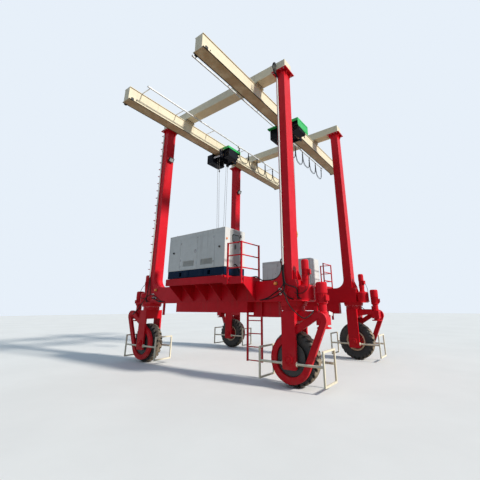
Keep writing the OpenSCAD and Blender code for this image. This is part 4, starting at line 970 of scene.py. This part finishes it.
def terminal_box():
    """Cast terminal box with a lid, four bolts and a cable gland, drawn out along +Z with its gland down."""
    box = joined(slab((-0.055, -0.06, 0), (0.055, 0.06, 0.05), 0.006, 0.014),
                 slab((-0.060, -0.065, 0.05), (0.060, 0.065, 0.064), 0.004, 0.014))
    screws = bolts([(x, y, 0.064) for x in (-0.046, 0.046) for y in (-0.05, 0.05)], UP, 0.006)
    gland = lathe([(0.018, 0), (0.018, 0.012), (0.013, 0.014), (0.013, 0.034), (0.010, 0.038)], 12)
    return joined(box, screws, towards(gland, NEAR, (0, -0.06, 0.028)))


def ride_on(prefix, corner, name, shape, finish, **more):
    """Piece of one corner, drawn for corner a, on the corner's bogie or wheel."""
    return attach(piece(f"{name}_{corner}", at_corner(shape, corner), finish, **more), f"{prefix}_{corner}")


class CRANE_OT_wheels(bpy.types.Operator):
    """Tyres with lugs, rim flanges and wheel nuts on the four wheels"""

    bl_idname = "crane.wheels"
    bl_label = "Wheels"

    def execute(self, context):
        s = context.scene.crane_sizes
        tyre = towards(tyre_shape(s.tyre_steps, s.lugs, s.lug_depth), NEAR, (0, 0, AXLE_Z))
        lip = [(0.283, 0.126), (0.322, 0.126), (0.330, 0.133), (0.330, 0.146), (0.322, 0.150), (0.300, 0.146),
               (0.283, 0.140)]
        flanges = lathe(lip, 72, True)
        flanges = joined(flanges, stretched(flanges, z=-1))
        plate = bolt_circle(0.335, 10, 0.235, 0.012)
        nuts = circle(0.165, 10)
        valve = lathe([(0.007, 0), (0.007, 0.05), (0.009, 0.052), (0.009, 0.07)], 8)
        nuts = joined(bolts(nuts - (0, 0, 0.036), DOWN, 0.016), bolts(nuts + (0, 0, 0.006), UP, 0.016),
                      towards(valve, DOWN, (0.255, 0, -0.03)))
        for k in CORNERS:
            made = ride_on("wheel", k, "lugged_tyre", tyre, "tyre", sharp=50)
            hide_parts(f"tyre_{k}")
            for name, shape, finish in (("rim_flanges", flanges, "rim"), ("wheel_nuts", nuts, "steel"),
                                        ("chain_wheel_bolts", plate, "steel")):
                ride_on("wheel", k, name, towards(shape, NEAR, (0, 0, AXLE_Z)), finish)
        return {"FINISHED"}


class CRANE_OT_bogies(bpy.types.Operator):
    """Chain guard lips, hub covers, motor fittings and bolts of the four bogies"""

    bl_idname = "crane.bogies"
    bl_label = "Bogie fittings"

    def execute(self, context):
        s = context.scene.crane_sizes
        lips = joined(guard_lip(0.524, 0.184, 0.010, 0.014), guard_lip(0.386, 0.046, 0.010, 0.010))
        ring = teardrop(0.455, 0.115, 24)
        pick = ring[np.linspace(0, len(ring) - 1, 13).astype(int)[:-1]]
        pick = pick[(np.abs(pick[:, 0]) > 0.23) | (pick[:, 1] < -0.44)]
        pick = np.column_stack([pick[:, 0], np.full(len(pick), GUARD_Y), pick[:, 1] + AXLE_Z])
        cover = joined(lathe([(0.100, 0), (0.100, 0.006), (0.094, 0.010), (0.080, 0.010), (0.076, 0.004),
                              (0.045, 0.004), (0.045, 0.014), (0.036, 0.022), (0.012, 0.025)], 36),
                       bolt_circle(0.088, 8, 0.010, 0.009, 22.5))
        covers = both_sides(towards(cover, NEAR, (0, -0.36, AXLE_Z)))
        motor = joined(moved(cowl_grille(0.118), (0, 0, 2.360)),
                       bolt_circle(0.102, 8, DRIVE_Z + 0.18, s.small_bolt, 22.5),
                       bolt_circle(0.148, 10, DRIVE_Z - 0.162, s.small_bolt),
                       towards(terminal_box(), (1, -0.35, 0), (0.105, -0.036, 1.99)))
        motor = moved(motor, (DRIVE_X, 0, 0))
        arm = bolts([(dx, -0.335, z) for dx in (-0.155, 0.155) for z in (1.46, 1.60, 1.68)], NEAR, 0.010)
        for k in CORNERS:
            for name, shape in (("guard_lips", lips), ("guard_bolts", bolts(pick, NEAR, s.small_bolt)),
                                ("hub_covers", covers), ("drive_motor_fittings", motor),
                                ("fork_bolts", both_sides(arm))):
                ride_on("bogie", k, name, shape, "red")
        pale = joined(slab((-0.055, -0.042, 0), (0.055, 0.042, 0.004), 0.001, 0.006),
                      slab((-0.015, -0.015, -0.035), (0.015, 0.015, 0.001), 0.003))
        pale = towards(pale, (0.86, -0.40, 0.3), (DRIVE_X + 0.150, 0.09, 1.635), (0.35, 0.2, 1))
        ride_on("bogie", "a", "blank_plate", pale, "white")
        return {"FINISHED"}


class CRANE_OT_steering(bpy.types.Operator):
    """Fan grilles, terminal boxes, flange bolts and short cables of the steering gearmotors"""

    bl_idname = "crane.steering"
    bl_label = "Steering motor fittings"

    def execute(self, context):
        s = context.scene.crane_sizes
        axis = (0.37, 0, SLEWING_TOP)
        fittings = joined(moved(cowl_grille(0.078), (0, 0, 0.996)),
                          bolt_circle(0.096, 8, 0.370, s.small_bolt, 22.5),
                          bolt_circle(0.097, 8, 0.606, 0.005),
                          towards(terminal_box(), (1, 0.2, 0), (0.074, 0.012, 0.69)),
                          bolt_circle(0.138, 10, 0.35, 0.010),
                          bolt_circle(0.219, 16, 0.026, 0.005, 8))
        cable = [(0.10, -0.048, 0.65), (0.125, -0.07, 0.62), (0.150, -0.13, 0.52), (0.158, -0.175, 0.40),
                 (0.13, -0.195, 0.26), (0.02, -0.222, 0.17), (-0.10, -0.205, 0.15), (-0.175, -0.195, 0.16),
                 (-0.235, -0.185, 0.18)]
        fittings, cable = moved(fittings, axis), smooth_route(np.array(cable) + axis)
        for k in CORNERS:
            on_frame(f"steering_fittings_{k}", at_corner(fittings, k), "red")
            cables(f"steering_cable_{k}", [cable], 0.008, k)
        return {"FINISHED"}


def tube_part(routes, radius, sides=12, up=ASKEW):
    """Tubes along routes, with a route attribute: cosine and sine round the tube, and metres along it."""
    shapes, marks = [], []
    a = -np.linspace(0, 2 * np.pi, sides, endpoint=False)
    for route in routes:
        run = np.concatenate([[0], np.cumsum(np.linalg.norm(np.diff(route, axis=0), axis=1))])
        shapes.append(tube(route, radius, sides, up))
        marks.append(np.stack([np.broadcast_to(np.cos(a), (len(route), sides)),
                               np.broadcast_to(np.sin(a), (len(route), sides)),
                               np.repeat(run[:, None], sides, 1)], -1).reshape(-1, 3))
    return joined(*shapes), np.vstack(marks)


def cables(name, routes, radius, corner=None):
    """Cables along routes, on the frame; drawn for corner a where another corner is named."""
    shape, mark = tube_part(routes, radius)
    shape = at_corner(shape, corner) if corner else shape
    return on_frame(name, shape, "cable", attribute=mark, sharp=50)


class CRANE_OT_hoists(bpy.types.Operator):
    """Wheel covers, hood ribs, doors, glands and bolts of the two hoists, and the hook blocks' fittings"""

    bl_idname = "crane.hoists"
    bl_label = "Hoist fittings"

    def execute(self, context):
        s = context.scene.crane_sizes
        hood_z, plate = FLANGE_TOP + 0.235, 0.244
        cap = joined(lathe([(0.052, 0), (0.052, 0.010), (0.040, 0.018), (0.015, 0.020)], 28),
                     bolt_circle(0.040, 4, 0.010, 0.006, 45))
        tie = lathe([(0.030, 0), (0.030, 0.008), (0.021, 0.010), (0.021, 0.020), (0.017, 0.022)], 6)
        wheels = FLANGE_TOP + 0.062
        plates = []
        for y in (-0.40, 0.56):
            if y < 0:
                plates.append(towards(cap, RIGHT, (plate, y, wheels)))
            plates.append(towards(cap, LEFT, (-plate, y, wheels)))
            plates.append(towards(tie, RIGHT, (plate, y, TIE_Z)))
        heads = [(plate, y, z) for y in (-0.46, 0.62) for z in (8.42, 8.50)]
        plates.append(bolts(heads, RIGHT, s.small_bolt))
        box_x, low, high = -0.61, RUNWAY_LOW - 0.37, RUNWAY_LOW + 0.05
        middle = (low + high) / 2
        panel_x, gear_y, weight_y = 0.575, 0.38, -0.247
        door = joined(towards(rounded_frame(0.345, 0.185, 0.02, 0.012, 0.005), LEFT, (box_x, -0.065, middle)),
                      towards(rounded_frame(0.15, 0.185, 0.02, 0.012, 0.005), NEAR, (-0.427, -0.44, middle)),
                      towards(latch(), LEFT, (box_x, 0.20, middle)),
                      *(towards(hinge(), LEFT, (box_x, -0.39, middle + dz)) for dz in (-0.13, 0.13)))
        gland = lathe([(0.020, 0), (0.020, 0.014), (0.014, 0.018), (0.014, 0.036), (0.010, 0.040)], 12)
        glands = joined(*(towards(gland, DOWN, (-0.45, y, low)) for y in (-0.30, -0.22, -0.14, 0.10)))
        opening = lathe([(0.115, 0), (0.131, 0), (0.131, 0.006), (0.128, 0.009), (0.118, 0.009),
                         (0.115, 0.006)], 40, True)
        drum = (0.46, -0.25, RUNWAY_LOW - 0.095)
        grooves = [lathe([(r - 0.003, 0), (r, 0.005), (r + 0.003, 0)], 32, True)
                   for r in (0.064, 0.072, 0.080)]
        front = joined(towards(opening, NEAR, drum),
                       towards(joined(*grooves), NEAR, (drum[0], drum[1] + 0.031, drum[2])))
        panel = joined(towards(rounded_frame(0.25, 0.21, 0.02, 0.012, 0.004), RIGHT, (panel_x, 0.02, 8.57)),
                       *(towards(hinge(), RIGHT, (panel_x, -0.232, z)) for z in (8.42, 8.72)))
        heads = [(x, gear_y, z) for x in (0.322, 0.4245, 0.527) for z in (8.372, 8.672)]
        heads += [(x, gear_y, z) for x in (0.322, 0.527) for z in (8.47, 8.57)]
        gear = joined(bolts(heads, FAR, s.small_bolt),
                      towards(lathe([(0.05, 0), (0.05, 0.010), (0.036, 0.022), (0.015, 0.025)], 24), FAR,
                              (0.43, gear_y, 8.43)),
                      *(slab((0.32 + 0.042 * i, 0.293, 8.690), (0.326 + 0.042 * i, 0.372, 8.706), 0.002)
                        for i in range(6)))
        lever = joined(slab((-0.018, 0.015, 8.10), (0.018, 0.045, 8.38), 0.004),
                       towards(lathe([(0.03, -0.03), (0.03, 0.03)], 16), RIGHT, (0, 0.03, 8.06)))
        weight = joined(tube([(0, 0, 8.316), (0, 0, 8.05), (0, 0, 7.765)], 0.004, 8, RIGHT),
                        lathe([(0.012, 7.665), (0.030, 7.675), (0.030, 7.745), (0.010, 7.770)], 20))
        sleeve = towards(lathe([(0.0405, -0.21), (0.046, -0.21), (0.046, 0.21), (0.0405, 0.21)], 24, True),
                         RIGHT, (0, -0.40, TIE_Z))
        head = joined(*(slab((dx, 0.27, RAIL_Z - 0.075), (dx + 0.008, 0.43, RAIL_Z + 0.020), 0.002, 0.01)
                        for dx in (-0.034, 0.026)),
                      slab((-0.034, 0.27, RAIL_Z - 0.083), (0.034, 0.43, RAIL_Z - 0.073), 0.002, 0.01))
        stem = smooth_route([(-0.45, -0.30, low - 0.036), (-0.45, -0.30, low - 0.07),
                             (-0.35, -0.28, low - 0.09), (-0.25, -0.20, low - 0.02),
                             (-0.21, -0.10, low + 0.05), (-0.20, 0.02, low + 0.10)])
        feed = smooth_route([(0.53, 0.20, 8.345), (0.535, 0.22, 8.30), (0.53, 0.30, 8.26), (0.51, 0.40, 8.27),
                             (0.47, 0.48, 8.34), (0.42, 0.525, 8.48), (0.375, 0.545, 8.60),
                             (0.36, 0.55, 8.68)])
        for i, side in HOISTS:

            def fit(name, shape, finish, **more):
                """Piece of this hoist on its trolley."""
                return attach(piece(f"{name}_{i}", over_hoist(shape, side), finish, **more), f"trolley_{i}")

            fit("trolley_caps", joined(*plates), "steel")
            fit("control_doors", joined(door, glands, panel), "dark", sharp=50)
            fit("drum_ring", front, "steel")
            fit("gear_fittings", gear, "dark")
            fit("limit_lever", lever, "steel")
            fit("limit_weight", moved(weight, (0, weight_y, 0)), "black")
            fit("tie_sleeve", sleeve, "zinc")
            fit("towing_head", moved(head, (-side * RAIL_OFF, 0, 0)), "white")
            shape, mark = tube_part([stem, feed], 0.009, 10)
            fit("hoist_cables", shape, "cable", attribute=mark)
            ribs = [slab((0.166, y, hood_z + 0.007), (0.588, y + 0.022, hood_z + 0.016), 0.003)
                    for y in (-0.22, 0.0, 0.20, 0.42)]
            if i == 2:
                ribs += [slab((0.594, -0.19, z), (0.603, 0.50, z + 0.022), 0.003)
                         for z in (hood_z - 0.34, hood_z - 0.06)]
            ribs.append(bolts([(0.595, y, hood_z - 0.03) for y in (-0.30, -0.05, 0.22, 0.49)], RIGHT, 0.007))
            fit("hood_ribs", joined(*ribs), "green")
        self.hooks()
        return {"FINISHED"}

    def hooks(self):
        """Sheave hubs and rims, cheek bolts, swivel nut and latch of each hook block."""
        hub = joined(lathe([(0.055, 0), (0.055, 0.010), (0.044, 0.016), (0.015, 0.018)], 28),
                     bolt_circle(0.155, 6, 0, 0.011))
        swivel = lathe([(0.045, -0.298), (0.045, -0.262)], 6)
        bar = slab((-0.008, 0.028, -0.372), (0.008, 0.072, -0.366), 0.002)
        rim = lathe([(0.175, -0.014), (0.192, -0.014), (0.183, -0.005), (0.183, 0.005), (0.192, 0.014),
                     (0.175, 0.014)], 48, True)
        rims = both_ends(towards(rim, RIGHT, (0.05, 0, 0)))
        fittings = joined(both_ends(towards(hub, RIGHT, (0.082, 0, 0))), swivel, bar)
        for i, side in HOISTS:
            for name, shape in (("hook_fittings", fittings), ("hook_sheave_rims", rims)):
                shape = over_hoist(moved(shape, (0, 0, HOOK_Z)), side)
                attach(piece(f"{name}_{i}", shape, "steel"), f"hook_block_{i}")


def eased(target):
    """Place between 0 and 1 where the smooth step 3 t squared - 2 t cubed has this value."""
    t = np.linspace(0, 1, 20001)
    return float(np.interp(target, t * t * (3 - 2 * t), t))


class CRANE_OT_ropes(bpy.types.Operator):
    """Wire ropes of the hoists"""

    bl_idname = "crane.ropes"
    bl_label = "Hoist ropes"

    def execute(self, context):
        s = context.scene.crane_sizes
        top, low = ROPE_TOP, HOOK_Z
        t = np.linspace(0, 1, 49)[:, None]
        for i, side in HOISTS:
            routes = []
            for x in (-0.05, 0.05):
                for y0, y1 in ((-0.33, -0.19), (0.26, 0.19)):
                    first = np.array([side * RUNWAY_X + x, y0, top])
                    routes.append(first + t * (np.array([side * RUNWAY_X + x, y1, low]) - first))
            shape, mark = tube_part(routes, s.rope, 8, RIGHT)
            made = piece(f"hoist_rope_{i}", shape, "rope", attribute=mark, sharp=60)
            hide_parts(f"ropes_{i}")
            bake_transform(made)
        return {"FINISHED"}


class CRANE_OT_festoons(bpy.types.Operator):
    """Cable loops, depth * (1 - |2t - 1| ** 2.6) deep, and their carriers along the rails"""

    bl_idname = "crane.festoons"
    bl_label = "Festoon cables"

    def execute(self, context):
        radius = context.scene.crane_sizes.cable
        first, last, count = 0.35, 4.70, 6
        pitch, hang = (last - first) / count, RAIL_Z - 0.19
        t = np.linspace(0, 1, 33)
        depth = 0.63
        drop = depth * (1 - np.abs(2 * t - 1) ** 2.6)
        lean = 0.10 * np.sin(2 * np.pi * t)
        for i, side in HOISTS:
            x = side * RAIL_X
            for k in range(count):
                y0 = first + k * pitch
                deep = 1.0 - 0.06 * ((k * 7 + i * 3) % 4)
                sway = x + 0.02 * np.sin(np.pi * t) * (k % 2 - 0.5)
                routes = [np.stack([sway + dx, y0 + pitch * (t - lean), hang - drop * deep * f], -1)
                          for dx, f in ((-0.013, 1.0), (0.013, 0.955))]
                shape, mark = tube_part(routes, radius, 10, (1, 0, 0.02))
                a, b = eased(1 - k / count), eased(1 - (k + 1) / count)
                made = piece(f"festoon_loop_{i}{k}", shape, "cable", attribute=mark)
                if k == 0:
                    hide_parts("festoon_cables")
                reach = pitch / (a - b)
                start = y0 + pitch + b * reach
                start - reach
                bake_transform(made)
            carrier = joined(
                slab((-0.012, -0.026, hang + 0.02), (0.012, 0.026, RAIL_Z - 0.024), 0.003),
                towards(lathe([(0.024, -0.03), (0.028, -0.026), (0.028, 0.026), (0.024, 0.03)], 20), FAR,
                        (0, 0, hang + 0.004)),
                *(towards(lathe([(0.011, -0.016), (0.013, -0.014), (0.013, 0.014), (0.011, 0.016)], 12),
                          RIGHT, (0, dy, RAIL_Z - 0.012)) for dy in (-0.018, 0.018)))
            for k in range(count + 1):
                y = first + k * pitch
                made = piece(f"festoon_carrier_{i}{k}", moved(carrier, (x, y, 0)), "black")
                if k == 0:
                    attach(made, f"trolley_{i}")
                elif k == count:
                    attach(made, "frame")
                else:
                    start = y + eased(1 - k / count) * EVEN
                    start - EVEN
                    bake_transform(made)
            left, right = sorted((x + side * 0.02, side * (RUNWAY_X - 0.25)))
            arm = slab((left, first - 0.015, hang - 0.015), (right, first + 0.015, hang + 0.015), 0.004)
            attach(piece(f"towing_arm_{i}", arm, "dark"), f"trolley_{i}")
        return {"FINISHED"}


class CRANE_OT_cables(bpy.types.Operator):
    """Cables on the frame and the slack cables to the drive motors"""

    bl_idname = "crane.cables"
    bl_label = "Frame and motor cables"

    def execute(self, context):
        y = -2.445
        power = [(1.1905, -2.567, 2.97), (1.2183, -2.567, 2.97), (1.2503, -2.553, 2.946),
                 (1.2743, -2.512, 2.87), (1.2863, -2.45, 2.775), (1.3063, -2.405, 2.71),
                 (1.3503, -2.40, 2.632), (1.4303, -2.43, 2.592), (1.5303, y, 2.588), (1.74, y, 2.588),
                 (1.895, y, 2.59), (2.0088, y, 2.52), (2.1118, y, 2.478), (2.365, y, 2.478), (2.55, y, 2.518),
                 (2.668, y, 2.634), (2.707, y, 2.79), (2.707, y, 2.86), (2.702, -2.462, 2.93),
                 (2.712, -2.492, 2.97), (2.75, -2.50, 2.995), (2.78, PIPE_Y, 3.02), (2.78, PIPE_Y, 3.0497)]
        made = cables("power_cable", [smooth_route(power)], 0.016)
        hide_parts("frame_cables")
        face = -SILL_FACE - 0.012
        runs = [[(2.772, PIPE_Y, 2.86), (2.760, -2.500, 2.74), (2.765, -2.510, 2.60), (2.785, -2.520, 2.46),
                 (2.805, -2.530, 2.33), (2.810, -2.530, 2.16), (2.87, -2.510, 2.06), (2.95, -2.485, 2.00),
                 (3.04, face, 1.975)],
                [(2.67, face - 0.033, 2.225), (2.67, face - 0.052, 2.224), (2.655, face - 0.062, 2.215),
                 (2.588, face - 0.02, 2.179), (2.449, face, 2.113), (2.308, face, 2.032),
                 (2.093, face, 1.971), (2.02, face, 1.968)],
                [(2.67, face - 0.033, 2.11), (2.67, face - 0.052, 2.109), (2.655, face - 0.06, 2.102),
                 (2.60, face - 0.01, 2.075), (2.50, face, 2.045), (2.377, face, 2.003), (2.25, face, 1.985),
                 (2.16, face, 1.98)],
                [(2.765, PIPE_Y, 2.86), (2.755, -2.500, 2.72), (2.775, -2.51, 2.56),
                 (2.795, -2.52, 2.44), (2.790, -2.53, 2.34), (2.74, -2.550, 2.26), (2.685, -2.540, 2.228)],
                [(2.795, PIPE_Y, 2.86), (2.795, -2.505, 2.70), (2.805, -2.515, 2.56),
                 (2.825, -2.52, 2.40), (2.825, -2.53, 2.26), (2.765, -2.550, 2.15), (2.69, -2.540, 2.113)],
                [(2.80, PIPE_Y, 2.86), (2.80, -2.50, 2.74), (2.81, -2.515, 2.58), (2.83, -2.525, 2.44),
                 (2.87, -2.525, 2.35), (2.97, -2.50, 2.30), (3.08, -2.485, 2.27), (3.15, -2.485, 2.22),
                 (3.165, -2.485, 2.12), (3.165, -2.490, 2.03), (3.22, -2.500, 1.992), (3.30, -2.500, 1.99)]]
        routes = [smooth_route(run) for run in runs]
        cables("sill_cables_near", routes, 0.013)
        left = [[(-2.975, PIPE_Y, 2.86), (-2.960, -2.500, 2.72), (-2.945, -2.510, 2.58),
                 (-2.962, -2.515, 2.40), (-2.990, -2.520, 2.22), (-3.045, -2.515, 2.08),
                 (-3.05, -2.490, 2.00), (-3.01, -2.477, 1.97)],
                [(-2.960, PIPE_Y, 2.86), (-2.940, -2.505, 2.70), (-2.930, -2.530, 2.52),
                 (-2.950, -2.540, 2.36), (-2.960, -2.540, 2.24), (-3.00, -2.535, 2.12), (-2.99, -2.510, 2.03),
                 (-2.93, -2.480, 1.985)],
                [(-2.955, PIPE_Y, 2.86), (-2.92, -2.500, 2.72), (-2.87, -2.510, 2.52), (-2.80, -2.530, 2.34),
                 (-2.73, -2.545, 2.25), (-2.685, -2.535, 2.228)],
                [(-2.53, -2.510, 2.110), (-2.528, -2.530, 2.108), (-2.50, -2.535, 2.085),
                 (-2.40, -2.485, 2.00), (-2.28, face, 1.967), (-2.16, face, 1.962)]]
        cables("sill_cables_left",
               [smooth_route(run) for run in left] + [route * (-1, 1, 1) for route in routes[1:3]], 0.013)
        loop = np.array([(2.769, PIPE_Y, 8.86), (2.768, -2.505, 8.93), (2.762, -2.565, 8.99),
                         (2.725, -2.590, 9.12), (2.690, -2.590, 9.275), (2.690, -2.582, 9.39),
                         (2.722, -2.577, 9.44), (2.764, -2.577, 9.42), (2.797, -2.585, 9.29),
                         (2.785, -2.592, 9.12), (2.785, -2.575, 8.99), (2.791, -2.505, 8.92),
                         (2.791, PIPE_Y, 8.86)])
        middle = np.array([2.745, 0, 9.0])
        inner = middle + (loop - middle) * (0.62, 1, 0.84) - (0, 0.022, 0)
        cables("leg_top_loop", [smooth_route(loop), smooth_route(inner[2:-2])], 0.018)
        foot = [tube(np.array([(x, -2.4895, z) for z in (3.06, 2.95, 2.84)]), 0.0245, 16)
                for x in (2.78, -2.97)]
        on_frame("pipe_ends", joined(*foot), "pipe")
        cables("sill_cables_far", [route * (sx, -1, 1) for route in routes[1:3] for sx in (1, -1)], 0.010)
        slack = np.array([(-280, -205, 2225), (-275, -250, 2222), (-205, -298, 2200), (-115, -325, 2140),
                          (-40, -350, 2050), (46, -400, 1910), (159, -420, 1768), (286, -430, 1656),
                          (406, -430, 1572), (485, -420, 1540), (548, -365, 1562), (588, -290, 1612),
                          (606, -215, 1655), (612, -150, 1690), (624, -118, 1705)]) / 1000
        shape, mark = tube_part([smooth_route(slack)], 0.013)
        for k, (sx, sy) in CORNERS.items():
            made = piece(f"motor_cable_{k}", at_corner(shape, k), "cable", attribute=mark)
            if k == "a":
                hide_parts("motor_cables")
            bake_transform(made)
        gland = lathe([(0.030, 0), (0.030, 0.012), (0.022, 0.016), (0.022, 0.034), (0.014, 0.040)], 12)
        gland = towards(gland, NEAR, (-0.28, -0.210, 2.225))
        for k in CORNERS:
            on_frame(f"slack_gland_{k}", at_corner(gland, k), "pipe")
        return {"FINISHED"}


class CRANE_OT_access(bpy.types.Operator):
    """Handrail feet, ladder brackets, lamp glasses, beacon bases and pipe saddles"""

    bl_idname = "crane.access"
    bl_label = "Rails, ladders and lamps"

    def execute(self, context):
        posts, post_y, foot_y = (1.385, 1.86), -3.09, -3.074
        feet = [slab((x - 0.035, foot_y, 2.41), (x + 0.035, foot_y + 0.0045, 2.55), 0.0015) for x in posts]
        feet.append(slab((1.80, -2.325, SILL_TOP), (1.92, -2.205, SILL_TOP + 0.008), 0.002))
        sleeve = lathe([(0.019, -0.02), (0.021, -0.016), (0.021, 0.016), (0.019, 0.02)], 14)
        joints = [moved(sleeve, (x, post_y, z)) for x in posts for z in (3.48, 3.135, 2.795)]
        on_frame("handrail_feet", both_sides(joined(*feet, *joints)), "red")
        heads = [(x + dx, foot_y, z) for x in posts for dx in (-0.028, 0.028) for z in (2.43, 2.53)]
        heads = joined(bolts(heads, NEAR, 0.007),
                       bolts([(1.82, -2.305, SILL_TOP + 0.008), (1.90, -2.225, SILL_TOP + 0.008)], UP, 0.008))
        on_frame("handrail_bolts", both_sides(heads), "zinc")
        bracket = slab((1.905, -2.35, SILL_LOW - 0.012), (2.005, -2.25, SILL_LOW), 0.003)
        on_frame("ladder_brackets", bracket, "red")
        tilt = np.array(Euler((0, math.radians(25), 0)).to_matrix())
        glass = towards(slab((-0.092, -0.072, 0), (0.092, 0.072, 0.004), 0.001, 0.010), RIGHT, (0.0622, 0, 0))
        bezel = joined(towards(rounded_frame(0.101, 0.081, 0.016, 0.016, 0.007), RIGHT, (0.0695, 0, 0)),
                       towards(lathe([(0.030, -0.028), (0.030, 0.028)], 16), FAR, (-0.012, 0, 0.01)))
        for name, shape, finish in (("lamp_glass", glass, "lens"), ("lamp_bezels", bezel, "black")):
            lamps = [moved(turned(shape, tilt), (-2.665, sy * LEG[1], LEG_TOP - 1.45)) for sy in (-1, 1)]
            on_frame(name, joined(*lamps), finish)
        base = lathe([(0.048, 0), (0.056, 0), (0.056, 0.010), (0.048, 0.014)], 28, True)
        hoop = lathe([(0.040, 0), (0.0425, 0.003), (0.0425, 0.005), (0.040, 0.008)], 28, True)
        cage = joined(base, *(moved(hoop, (0, 0, h)) for h in (0.022, 0.038)))
        cages = [towards(cage, NEAR, (sx * 2.535, -SILL_FACE, SILL_TOP - 0.085)) for sx in (-1, 1)]
        on_frame("beacon_bases", joined(*cages), "black")
        saddles = []
        for sx in (-1, 1):
            x = sx * LEG[0] - 0.095
            for z in 3.30 + 1.6 * np.arange(4):
                saddles.append(bolts([(x + dx, -2.519, z + 0.015) for dx in (-0.024, 0.024)], NEAR, 0.005))
            saddles.append(moved(lathe([(0.030, 0), (0.030, 0.03), (0.026, 0.034)], 20), (x, PIPE_Y, 5.6)))
        on_frame("pipe_fittings", joined(*saddles), "pipe")
        self.rail_fittings()
        return {"FINISHED"}

    def rail_fittings(self):
        """Bolts on the festoon rails' arms, end caps of the rails, clamps and buffers at the beam ends."""
        heads = [bolts([(sx * (RAIL_X + dx), y, RUNWAY_TOP) for y in (-4.5, -3.0, -1.3, 0.8, 1.9, 3.3, 4.8)
                        for dx in (0.0, 0.42)], UP, 0.008) for sx in (-1, 1)]
        on_frame("rail_bolts", joined(*heads), "zinc")
        cap = slab((RAIL_X - 0.021, -0.004, RAIL_Z - 0.021), (RAIL_X + 0.021, 0.004, RAIL_Z + 0.021), 0.001)
        on_frame("rail_caps", both_ends(joined(*(moved(cap, (0, y, 0)) for y in RAIL_ENDS))), "black")
        plates = [slab((x0, -4.905, z0), (x1, -4.815, z1), 0.004, 0.008) for x0, x1, z0, z1 in (
            (0.190, 0.232, RUNWAY_LOW - 0.028, RUNWAY_LOW - 0.001),
            (0.211, 0.232, RUNWAY_LOW - 0.010, FLANGE_TOP + 0.040),
            (0.170, 0.225, FLANGE_TOP + 0.001, FLANGE_TOP + 0.040))]
        buffer = lathe([(0.026, 0), (0.030, 0.012), (0.030, 0.034), (0.020, 0.044)], 20)
        jaw = joined(*plates, bolts([(0.211, y, RUNWAY_LOW - 0.028) for y in (-4.885, -4.835)], DOWN, 0.010),
                     towards(buffer, FAR, (0.168, -4.720, FLANGE_TOP + 0.060)))
        jaws = both_sides(both_ends(jaw))
        on_frame("runway_end_clamps", joined(*(over_hoist(jaws, side) for side in (-1, 1))), "black")


class CRANE_PT_panel(bpy.types.Panel):
    """Steps that dress the crane, in order, with their sizes and colours"""

    bl_idname = "CRANE_PT_panel"
    bl_label = "Gantry crane"
    bl_space_type = "VIEW_3D"
    bl_region_type = "UI"
    bl_category = "Crane"

    def draw(self, context):
        scene = context.scene
        for group in (scene.crane_paint, scene.crane_sizes):
            box = self.layout.box()
            for name in group.bl_rna.properties.keys():
                if name not in {"rna_type", "name"}:
                    box.prop(group, name)
        for step in STEPS:
            self.layout.operator(step.bl_idname)


STEPS = (CRANE_OT_finishes, CRANE_OT_stage, CRANE_OT_structure, CRANE_OT_generator, CRANE_OT_wheels,
         CRANE_OT_bogies, CRANE_OT_steering, CRANE_OT_hoists, CRANE_OT_ropes, CRANE_OT_festoons,
         CRANE_OT_cables, CRANE_OT_access)


def register():
    """Register the property groups, operators and panel."""
    for made in (CranePaint, CraneSizes, *STEPS, CRANE_PT_panel):
        bpy.utils.register_class(made)
    bpy.types.Scene.crane_paint = PointerProperty(type=CranePaint)
    bpy.types.Scene.crane_sizes = PointerProperty(type=CraneSizes)


def unregister():
    """Take the classes and properties out again."""
    del bpy.types.Scene.crane_paint, bpy.types.Scene.crane_sizes
    for made in (CRANE_PT_panel, *STEPS[::-1], CraneSizes, CranePaint):
        bpy.utils.unregister_class(made)


def main():
    register()
    for step in STEPS:
        group, name = step.bl_idname.split(".")
        getattr(getattr(bpy.ops, group), name)()


if __name__ == "__main__":
    main()
